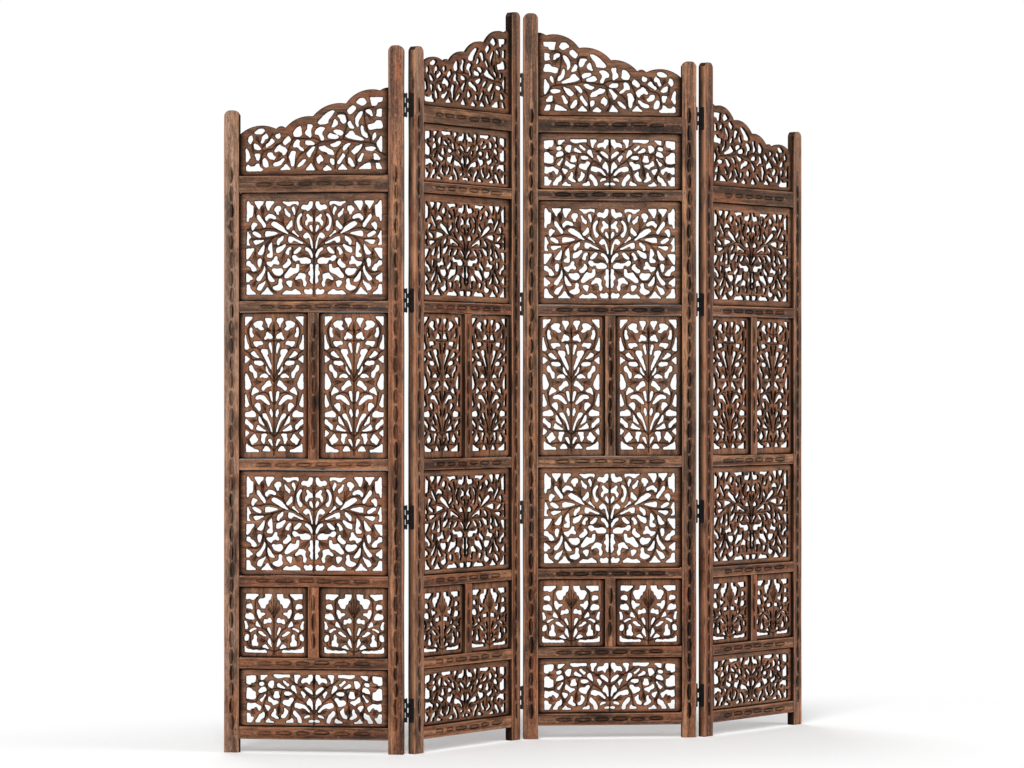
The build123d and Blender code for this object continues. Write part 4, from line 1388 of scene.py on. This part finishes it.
def noise(tree, vector, scale, detail, roughness, distortion=0.0):
    """A noise value between 0 and 1."""
    return add(tree, "ShaderNodeTexNoise", {
        "Vector": vector, "Scale": scale, "Detail": detail, "Roughness": roughness,
        "Distortion": distortion}).outputs[0]


def attribute(tree, name, output="Fac"):
    """A mesh attribute as a socket."""
    return add(tree, "ShaderNodeAttribute", attribute_name=name).outputs[output]


def wood_group():
    """Worn, burnt hardwood as colours and values, over the attributes wood, tone, bleached, dark and
    worn. Coats of colour go on one over the other, each where its texture is past its first value."""
    group = bpy.data.node_groups.new("Worn burnt hardwood", "ShaderNodeTree")
    face = group.interface
    for name, default in (("Light", (0.3, 0.12, 0.06, 1)), ("Middle", (0.15, 0.06, 0.03, 1)),
                          ("Grey", (0.1, 0.07, 0.05, 1)), ("Burnt", (0.01, 0.01, 0.01, 1))):
        face.new_socket(name, in_out="INPUT", socket_type="NodeSocketColor").default_value = default
    for name, default in (("Rubbed", 0.5), ("Weathered", 0.5), ("Banded", 1.0)):
        face.new_socket(name, in_out="INPUT", socket_type="NodeSocketFloat").default_value = default
    face.new_socket("Color", in_out="OUTPUT", socket_type="NodeSocketColor")
    for name in ("Roughness", "Height", "Gloss"):
        face.new_socket(name, in_out="OUTPUT", socket_type="NodeSocketFloat")
    ins = group.nodes.new("NodeGroupInput").outputs
    burnt = ins["Burnt"]

    wood = attribute(group, "wood", "Vector")
    texture = {}
    for name, (along, across, detail, roughness, distortion) in GRAIN.items():
        place = add(group, "ShaderNodeMapping", {"Vector": wood, "Scale": (along, across, across)})
        texture[name] = noise(group, place.outputs[0], 1.0, detail, roughness, distortion)
    greyness = maths(group, "MULTIPLY", maths(group, "SUBTRACT", attribute(group, "tone"), 0.5), 0.40)
    texture["grey"] = maths(group, "ADD", texture["patches"], greyness)

    def coat(name, low, high, *shares):
        """How thick a coat is: from 0 to 1 as its texture goes from low to high, times its shares."""
        amount = ramp(group, texture[name], low, high)
        for share in shares:
            amount = maths(group, "MULTIPLY", amount, share)
        return amount

    # The dark attribute is soot and burnt wood, and also painted shade: in the frets' openings and borders
    # and on the bars' flanks.
    soot_and_shade = add(group, "ShaderNodeClamp", {0: attribute(group, "dark")}).outputs[0]
    pore = coat("pores", 0.42, 0.30, 0.85)
    pale = mix(group, 0.5, ins["Light"], BARE)
    colour = ins["Middle"]
    for amount, paint in (
            (coat("figure", 0.34, 0.66), ins["Light"]),
            (coat("grey", 0.40, 0.62, ins["Weathered"]), ins["Grey"]),
            (coat("bands", 0.52, 0.64, ins["Banded"], 0.80), TAN),
            (coat("bands", 0.47, 0.34, ins["Banded"], 0.70), burnt),
            (coat("rubbed", 0.30, 0.62, attribute(group, "bleached")), DUSTY),
            (coat("specks", 0.54, 0.74, 0.35), DUSTY),
            (coat("specks", 0.46, 0.26, 0.60), burnt),
            (coat("stains", 0.42, 0.70, 0.72), burnt),
            (coat("fibre", 0.60, 0.28, 0.62), burnt),
            (pore, burnt),
            (coat("rubbed", 0.36, 0.60, attribute(group, "worn"), ins["Rubbed"]), pale),
            (soot_and_shade, burnt)):
        colour = mix(group, amount, colour, paint)

    fibre = texture["fibre"]
    rough = maths(group, "MULTIPLY_ADD", soot_and_shade, 0.25, maths(group, "MULTIPLY_ADD", fibre, 0.18, 0.48))
    figure = maths(group, "MULTIPLY", texture["figure"], 0.3)
    height = maths(group, "MULTIPLY_ADD", fibre, 0.4, figure)
    outs = group.nodes.new("NodeGroupOutput").inputs
    group.links.new(colour, outs["Color"])
    group.links.new(rough, outs["Roughness"])
    group.links.new(maths(group, "SUBTRACT", height, pore), outs["Height"])
    group.links.new(maths(group, "MULTIPLY_ADD", soot_and_shade, -0.18, 0.22), outs["Gloss"])
    return group


def colour4(value, level=1.0):
    """A property's colour, made lighter or darker by a level, with full alpha."""
    return (*(level * part for part in value), 1.0)


def wood_material(name, group, rubbed, weathered, banded, level):
    """One wood of the screen, from the shared group with its own values and its own level of colour."""
    finish = bpy.context.scene.jali_finish
    material = empty_material(name)
    tree = material.node_tree
    wood = add(tree, "ShaderNodeGroup", node_tree=group)
    for key, value in (("Light", colour4(finish.light, level)), ("Middle", colour4(finish.middle, level)),
                       ("Grey", colour4(finish.grey, level)), ("Burnt", colour4(finish.burnt)),
                       ("Rubbed", rubbed), ("Weathered", weathered), ("Banded", banded)):
        wood.inputs[key].default_value = value
    bump = add(tree, "ShaderNodeBump", {
        "Strength": 0.6, "Distance": 0.0008, "Height": wood.outputs["Height"]})
    shader = add(tree, "ShaderNodeBsdfPrincipled", {
        "Base Color": wood.outputs["Color"], "Roughness": wood.outputs["Roughness"],
        "Normal": bump.outputs[0], "Specular IOR Level": wood.outputs["Gloss"]})
    add(tree, "ShaderNodeOutputMaterial", {"Surface": shader.outputs[0]})
    return material


def iron_material(name, colour, roughness):
    """Black lacquered iron with faint dust and rubbed spots."""
    material = empty_material(name)
    tree = material.node_tree
    place = add(tree, "ShaderNodeTexCoord").outputs["Object"]
    spots = noise(tree, place, 240.0, 4.0, 0.6)
    brown = mix(tree, ramp(tree, spots, 0.52, 0.72), colour4(colour), DUST_ON_IRON)
    rough = maths(tree, "MULTIPLY_ADD", spots, 0.25, roughness)
    bump = add(tree, "ShaderNodeBump", {"Strength": 0.2, "Distance": 0.0002, "Height": spots})
    shader = add(tree, "ShaderNodeBsdfPrincipled", {
        "Base Color": brown, "Metallic": 0.6, "Roughness": rough, "Normal": bump.outputs[0]})
    add(tree, "ShaderNodeOutputMaterial", {"Surface": shader.outputs[0]})
    return material


# ---------------------------------------------------------------- operators

# Each panel fret's design and how many of it stand side by side.
PANELS = {
    "top_fret": (LOW_SPRAY, 1),
    "upper_tree_fret": (TREE, 1),
    "tall_frets": (SPRAY, 2),
    "lower_tree_fret": (TREE, 1),
    "square_frets": (PALMETTE, 2),
    "bottom_fret": (LOW_SPRAY, 1),
}


class JALI_OT_finishes(bpy.types.Operator):
    """Make the woods and the irons"""

    bl_idname = "jali.finishes"
    bl_label = "Finishes"

    def execute(self, context):
        group = wood_group()
        for name, values in WOODS.items():
            wood_material(name, group, *values)
        iron_material("Hinge iron", context.scene.jali_finish.iron, 0.35)
        iron_material("Pin iron", PIN_IRON, 0.3)
        return {"FINISHED"}


def fret_piece(leaf, name, parts):
    """The piece of one fret node, from its boards."""
    node = f"leaf_{leaf}_{name}"
    return mesh_piece(f"{node}_carved", sooted(joined(parts), name), f"leaf_{leaf}",
                      "Carved wood", [node])


def frame_piece(leaf, name, parts):
    """The piece of one node of the frame, from its bars."""
    node = f"leaf_{leaf}_{name}"
    return mesh_piece(f"{node}_worn", sooted(joined(parts), name), f"leaf_{leaf}",
                      "Frame wood", [node])


def iron_piece(name, parts, leaf, finish):
    """The piece of one node of a fold, which rides on a leaf."""
    return mesh_piece(f"{name}_iron", joined(parts), f"leaf_{leaf}", finish, [name])


def bay(leaf, name):
    """The floor and the height of a fret's bay, from its node."""
    low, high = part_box(f"leaf_{leaf}_{name}")
    return low.z, high.z - low.z


def muntin_width():
    """The width of a muntin, from the CAD node's corners along the leaf."""
    place = LeafPlace(1)
    points = np.array([v.co for v in frame["nodes"]["leaf_1_muntins"].data.vertices])
    u = (points[:, :2] - place.origin) @ place.along
    return float(u.max() - u.min())


def bar_edges(node):
    """The low and high edge of each bar in a node: its points' heights, in pairs."""
    heights = np.unique(np.array([v.co.z for v in frame["nodes"][node].data.vertices]).round(5))
    return list(zip(heights[::2].tolist(), heights[1::2].tolist()))


class JALI_OT_panel_frets(bpy.types.Operator):
    """Carve the symmetric panels: trees, tall sprays, palmettes and low sprays"""

    bl_idname = "jali.panel_frets"
    bl_label = "Panel frets"

    def execute(self, context):
        span = LeafPlace(1).width - 2 * context.scene.jali_frame.stile_width
        muntin = muntin_width()
        for leaf in LEAVES:
            place = LeafPlace(leaf)
            for order, (name, (design, count)) in enumerate(PANELS.items()):
                if f"leaf_{leaf}_{name}" not in frame["nodes"]:
                    continue
                floor, height = bay(leaf, name)
                one = (span - muntin * (count - 1)) / count
                half, top = (one / 2 + context.scene.jali_carving.tuck) / MM, height / MM
                outline = [(-half, 0), (half, 0), (half, top), (-half, top)]
                drawing = drawn(design, (top - design["bay"]) / 2, True)
                parts = []
                for index in range(count):
                    seed = 1000 * leaf + 10 * order + index
                    u = LeafPlace(1).width / 2 + (index - (count - 1) / 2) * (one + muntin)
                    parts.append(placed(place, fret_mesh(drawing, outline, seed), u, floor, False, seed))
                fret_piece(leaf, name, parts)
        return {"FINISHED"}


class JALI_OT_crest_frets(bpy.types.Operator):
    """Carve the scalloped crests with their climbing vine"""

    bl_idname = "jali.crest_frets"
    bl_label = "Crest frets"

    def execute(self, context):
        stile = context.scene.jali_frame.stile_width
        width = LeafPlace(1).width
        outline = crest_outline((width - 2 * stile) / MM)
        drawing = drawn(CREST, 0.0, False)
        for leaf in LEAVES:
            tall_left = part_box(f"leaf_{leaf}_left_stile")[1].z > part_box(f"leaf_{leaf}_right_stile")[1].z
            seed = 1000 * leaf + 90
            u = stile if tall_left else width - stile
            board = fret_mesh(drawing, outline, seed)
            floor, _ = bay(leaf, "crest_fret")
            board = placed(LeafPlace(leaf), board, u, floor, not tall_left, seed, CREST_GREYER)
            fret_piece(leaf, "crest_fret", [board])
        return {"FINISHED"}


class JALI_OT_stiles(bpy.types.Operator):
    """Make the stiles, with rounded tops and the carved chain down their faces"""

    bl_idname = "jali.stiles"
    bl_label = "Stiles"

    def execute(self, context):
        settings = context.scene.jali_frame
        width = settings.stile_width
        for leaf in LEAVES:
            place = LeafPlace(leaf)
            run = (STILE_CHAIN_FOOT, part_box(f"leaf_{leaf}_crest_rail")[1].z + STILE_CHAIN_PAST)
            for side, u, inner in (("left", width / 2, 1), ("right", place.width - width / 2, -1)):
                node = f"leaf_{leaf}_{side}_stile"
                seed = leaf * 10 + (side == "right")
                mesh = bar_mesh(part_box(node)[1].z, width, run, STILE_LINK, CHAIN_SOOT[leaf], seed, inner,
                                settings.crown)
                points, faces, masks = placed(place, mesh, u, 0.0, False, seed)
                masks["bleached"] = np.full(len(points), BLEACHED.get(node, 0.0))
                frame_piece(leaf, f"{side}_stile", [(points, faces, masks)])
        return {"FINISHED"}


class JALI_OT_rails(bpy.types.Operator):
    """Make the bottom, cross and crest rails, with a shallow carved chain along each"""

    bl_idname = "jali.rails"
    bl_label = "Rails"

    def execute(self, context):
        for leaf in LEAVES:
            place = LeafPlace(leaf)
            span = place.width - 2 * context.scene.jali_frame.stile_width
            run = (span * RAIL_CHAIN_END, span * (1 - RAIL_CHAIN_END))
            for name in ("bottom_rail", "crest_rail", "cross_rails"):
                parts = []
                for index, (low, high) in enumerate(bar_edges(f"leaf_{leaf}_{name}")):
                    seed = leaf * 100 + index + len(name)
                    z = (low + high) / 2
                    mesh = laid(bar_mesh(span, high - low, run, RAIL_LINK, CHAIN_SOOT[leaf], seed), span)
                    parts.append(placed(place, mesh, place.width / 2, z, False, seed, RAIL_GREYER))
                frame_piece(leaf, name, parts)
        return {"FINISHED"}


class JALI_OT_muntins(bpy.types.Operator):
    """Make the muntins that part the paired frets"""

    bl_idname = "jali.muntins"
    bl_label = "Muntins"

    def execute(self, context):
        width = muntin_width()
        for leaf in LEAVES:
            place = LeafPlace(leaf)
            parts = []
            for index, (low, high) in enumerate(bar_edges(f"leaf_{leaf}_muntins")):
                seed = leaf * 50 + index + 7
                run = (MUNTIN_CHAIN_END, high - low - MUNTIN_CHAIN_END)
                mesh = bar_mesh(high - low, width, run, STILE_LINK, CHAIN_SOOT[leaf], seed)
                parts.append(placed(place, mesh, place.width / 2, low, False, seed))
            frame_piece(leaf, "muntins", parts)
        return {"FINISHED"}


class JALI_OT_hinges(bpy.types.Operator):
    """Make the black butt hinges: plates, knuckles, pins and slotted screws"""

    bl_idname = "jali.hinges"
    bl_label = "Hinges"

    def execute(self, context):
        for fold in FOLDS:
            heights = hinge_heights(fold)
            for side, leaf, at_right in (("left", fold, True), ("right", fold + 1, False)):
                place = LeafPlace(leaf)
                parts = []
                for index, height in enumerate(heights):
                    parts += hinge_parts(fold, place, at_right, height, 10 * fold + index)
                iron_piece(f"fold_{fold}_{side}_plates", parts, leaf, "Hinge iron")
            pins = [hinge_pin(fold, height) for height in heights]
            iron_piece(f"fold_{fold}_pins", pins, fold, "Pin iron")
        return {"FINISHED"}


# ---------------------------------------------------------------- stage

FLOOR_HALF = 60
# How much a metre counts along x, y and z on the floor, and the distances where it begins to turn
# white and is white.
FLOOR_SHARES = (0.45, 1, 1)
FLOOR_WHITENS = (0.40, 1.0)
# Each lamp's place and size in metres, and its power as a share of the key light's.
LAMPS = {
    "key": ((-3.2, -4.2, 3.6), 2.6, 1.0),
    "fill": ((3.6, -3.6, 2.4), 3.0, 0.45),
    "rear": ((0.6, 4.0, 3.4), 3.0, 0.35),
}
LAMPS_AIM = (0, 0, 0.85)


def floor_material(name, colour):
    """A matt floor that turns to plain white light for the camera between two distances.

    A distance counts along the screen for less than half of one away from it.
    """
    material = empty_material(name)
    tree = material.node_tree
    place = add(tree, "ShaderNodeTexCoord").outputs["Object"]
    place = add(tree, "ShaderNodeVectorMath", {0: place, 1: FLOOR_SHARES}, operation="MULTIPLY").outputs[0]
    away = add(tree, "ShaderNodeVectorMath", {0: place}, operation="LENGTH").outputs["Value"]
    path = add(tree, "ShaderNodeLightPath")
    seen = maths(tree, "MULTIPLY", ramp(tree, away, *FLOOR_WHITENS), path.outputs["Is Camera Ray"])
    matt = add(tree, "ShaderNodeBsdfDiffuse", {"Color": colour4(colour)})
    glow = add(tree, "ShaderNodeEmission", {"Color": (1, 1, 1, 1), "Strength": 1.0})
    blend = add(tree, "ShaderNodeMixShader", {0: seen, 1: matt.outputs[0], 2: glow.outputs[0]})
    add(tree, "ShaderNodeOutputMaterial", {"Surface": blend.outputs[0]})
    return material


def floor_sheet(name, half, finish):
    """A level square about the origin, for the screen to stand on."""
    mesh = bpy.data.meshes.new(name)
    corners = [(-half, -half, 0), (half, -half, 0), (half, half, 0), (-half, half, 0)]
    mesh.from_pydata(corners, [], [(0, 1, 2, 3)])
    mesh.materials.append(finish)
    sheet = bpy.data.objects.new(name, mesh)
    bpy.context.scene.collection.objects.link(sheet)
    return sheet


def lamp(name, where, size, power):
    """A square soft lamp that looks at the middle of the screen."""
    light = bpy.data.lights.new(name, "AREA")
    light.size = size
    light.energy = power
    holder = bpy.data.objects.new(name, light)
    holder.location = where
    way = np.subtract(LAMPS_AIM, where)
    holder.rotation_euler = (
        math.atan2(math.hypot(way[0], way[1]), -way[2]), 0.0, math.atan2(way[1], way[0]) - math.pi / 2)
    bpy.context.scene.collection.objects.link(holder)
    return holder


def sky(strength):
    """Even light from all round, white where a camera, a mirror or glass looks at it."""
    world = bpy.data.worlds.new("sky")
    bpy.context.scene.world = world
    world.use_nodes = True
    tree = world.node_tree
    tree.nodes.clear()
    path = add(tree, "ShaderNodeLightPath")
    seen = maths(tree, "MAXIMUM", path.outputs["Is Camera Ray"],
                 maths(tree, "MAXIMUM", path.outputs["Is Glossy Ray"], path.outputs["Is Transmission Ray"]))
    level = add(tree, "ShaderNodeMix", {0: seen, 2: strength, 3: 1.0}).outputs[0]
    glow = add(tree, "ShaderNodeBackground", {"Color": (1, 1, 1, 1), "Strength": level})
    add(tree, "ShaderNodeOutputWorld", {"Surface": glow.outputs[0]})


class JALI_OT_stage(bpy.types.Operator):
    """Set up the floor, the lamps, the sky and the camera"""

    bl_idname = "jali.stage"
    bl_label = "Stage"

    def execute(self, context):
        scene = context.scene
        stage = scene.jali_stage
        floor_sheet("stage_floor", FLOOR_HALF, floor_material("Stage floor", scene.jali_finish.floor))
        place = LeafPlace(1)
        corner = place.origin - place.back * scene.jali_frame.thickness / 2
        camera = bpy.data.cameras.new("camera")
        camera.lens = stage.lens
        camera.sensor_width = 36.0
        camera.shift_y = stage.shift
        camera.clip_end = 100
        seen = bpy.data.objects.new("camera", camera)
        seen.location = (*(corner + stage.camera_back[:2]), stage.camera_back[2])
        seen.rotation_euler = (math.pi / 2, 0.0, -stage.camera_turn)
        scene.collection.objects.link(seen)
        scene.camera = seen
        for name, (where, size, share) in LAMPS.items():
            lamp(name, where, size, stage.key * share)
        sky(stage.sky)
        scene.view_settings.view_transform = "Standard"
        return {"FINISHED"}


class JALI_PT_panel(bpy.types.Panel):
    """Lists the steps and their sizes"""

    bl_idname = "JALI_PT_panel"
    bl_label = "Jali Screen"
    bl_space_type = "VIEW_3D"
    bl_region_type = "UI"
    bl_category = "Jali Screen"

    def draw(self, context):
        for step in STEPS:
            self.layout.operator(step.bl_idname)
        for name in SETTINGS:
            settings = getattr(context.scene, name)
            box = self.layout.box()
            for key in settings.__annotations__:
                box.prop(settings, key)


STEPS = [JALI_OT_finishes, JALI_OT_panel_frets, JALI_OT_crest_frets, JALI_OT_stiles, JALI_OT_rails,
         JALI_OT_muntins, JALI_OT_hinges, JALI_OT_stage]


def register():
    """Registers the settings, the steps and the panel, and puts the settings on the scene."""
    for group in SETTINGS.values():
        bpy.utils.register_class(group)
    for name, group in SETTINGS.items():
        setattr(bpy.types.Scene, name, bpy.props.PointerProperty(type=group))
    for step in STEPS:
        bpy.utils.register_class(step)
    bpy.utils.register_class(JALI_PT_panel)


def unregister():
    """Takes back all that register did."""
    bpy.utils.unregister_class(JALI_PT_panel)
    for step in reversed(STEPS):
        bpy.utils.unregister_class(step)
    for name, group in SETTINGS.items():
        delattr(bpy.types.Scene, name)
        bpy.utils.unregister_class(group)


def main():
    """Runs every step."""
    register()
    for step in STEPS:
        group, name = step.bl_idname.split(".")
        getattr(getattr(bpy.ops, group), name)()


if __name__ == "__main__":
    main()
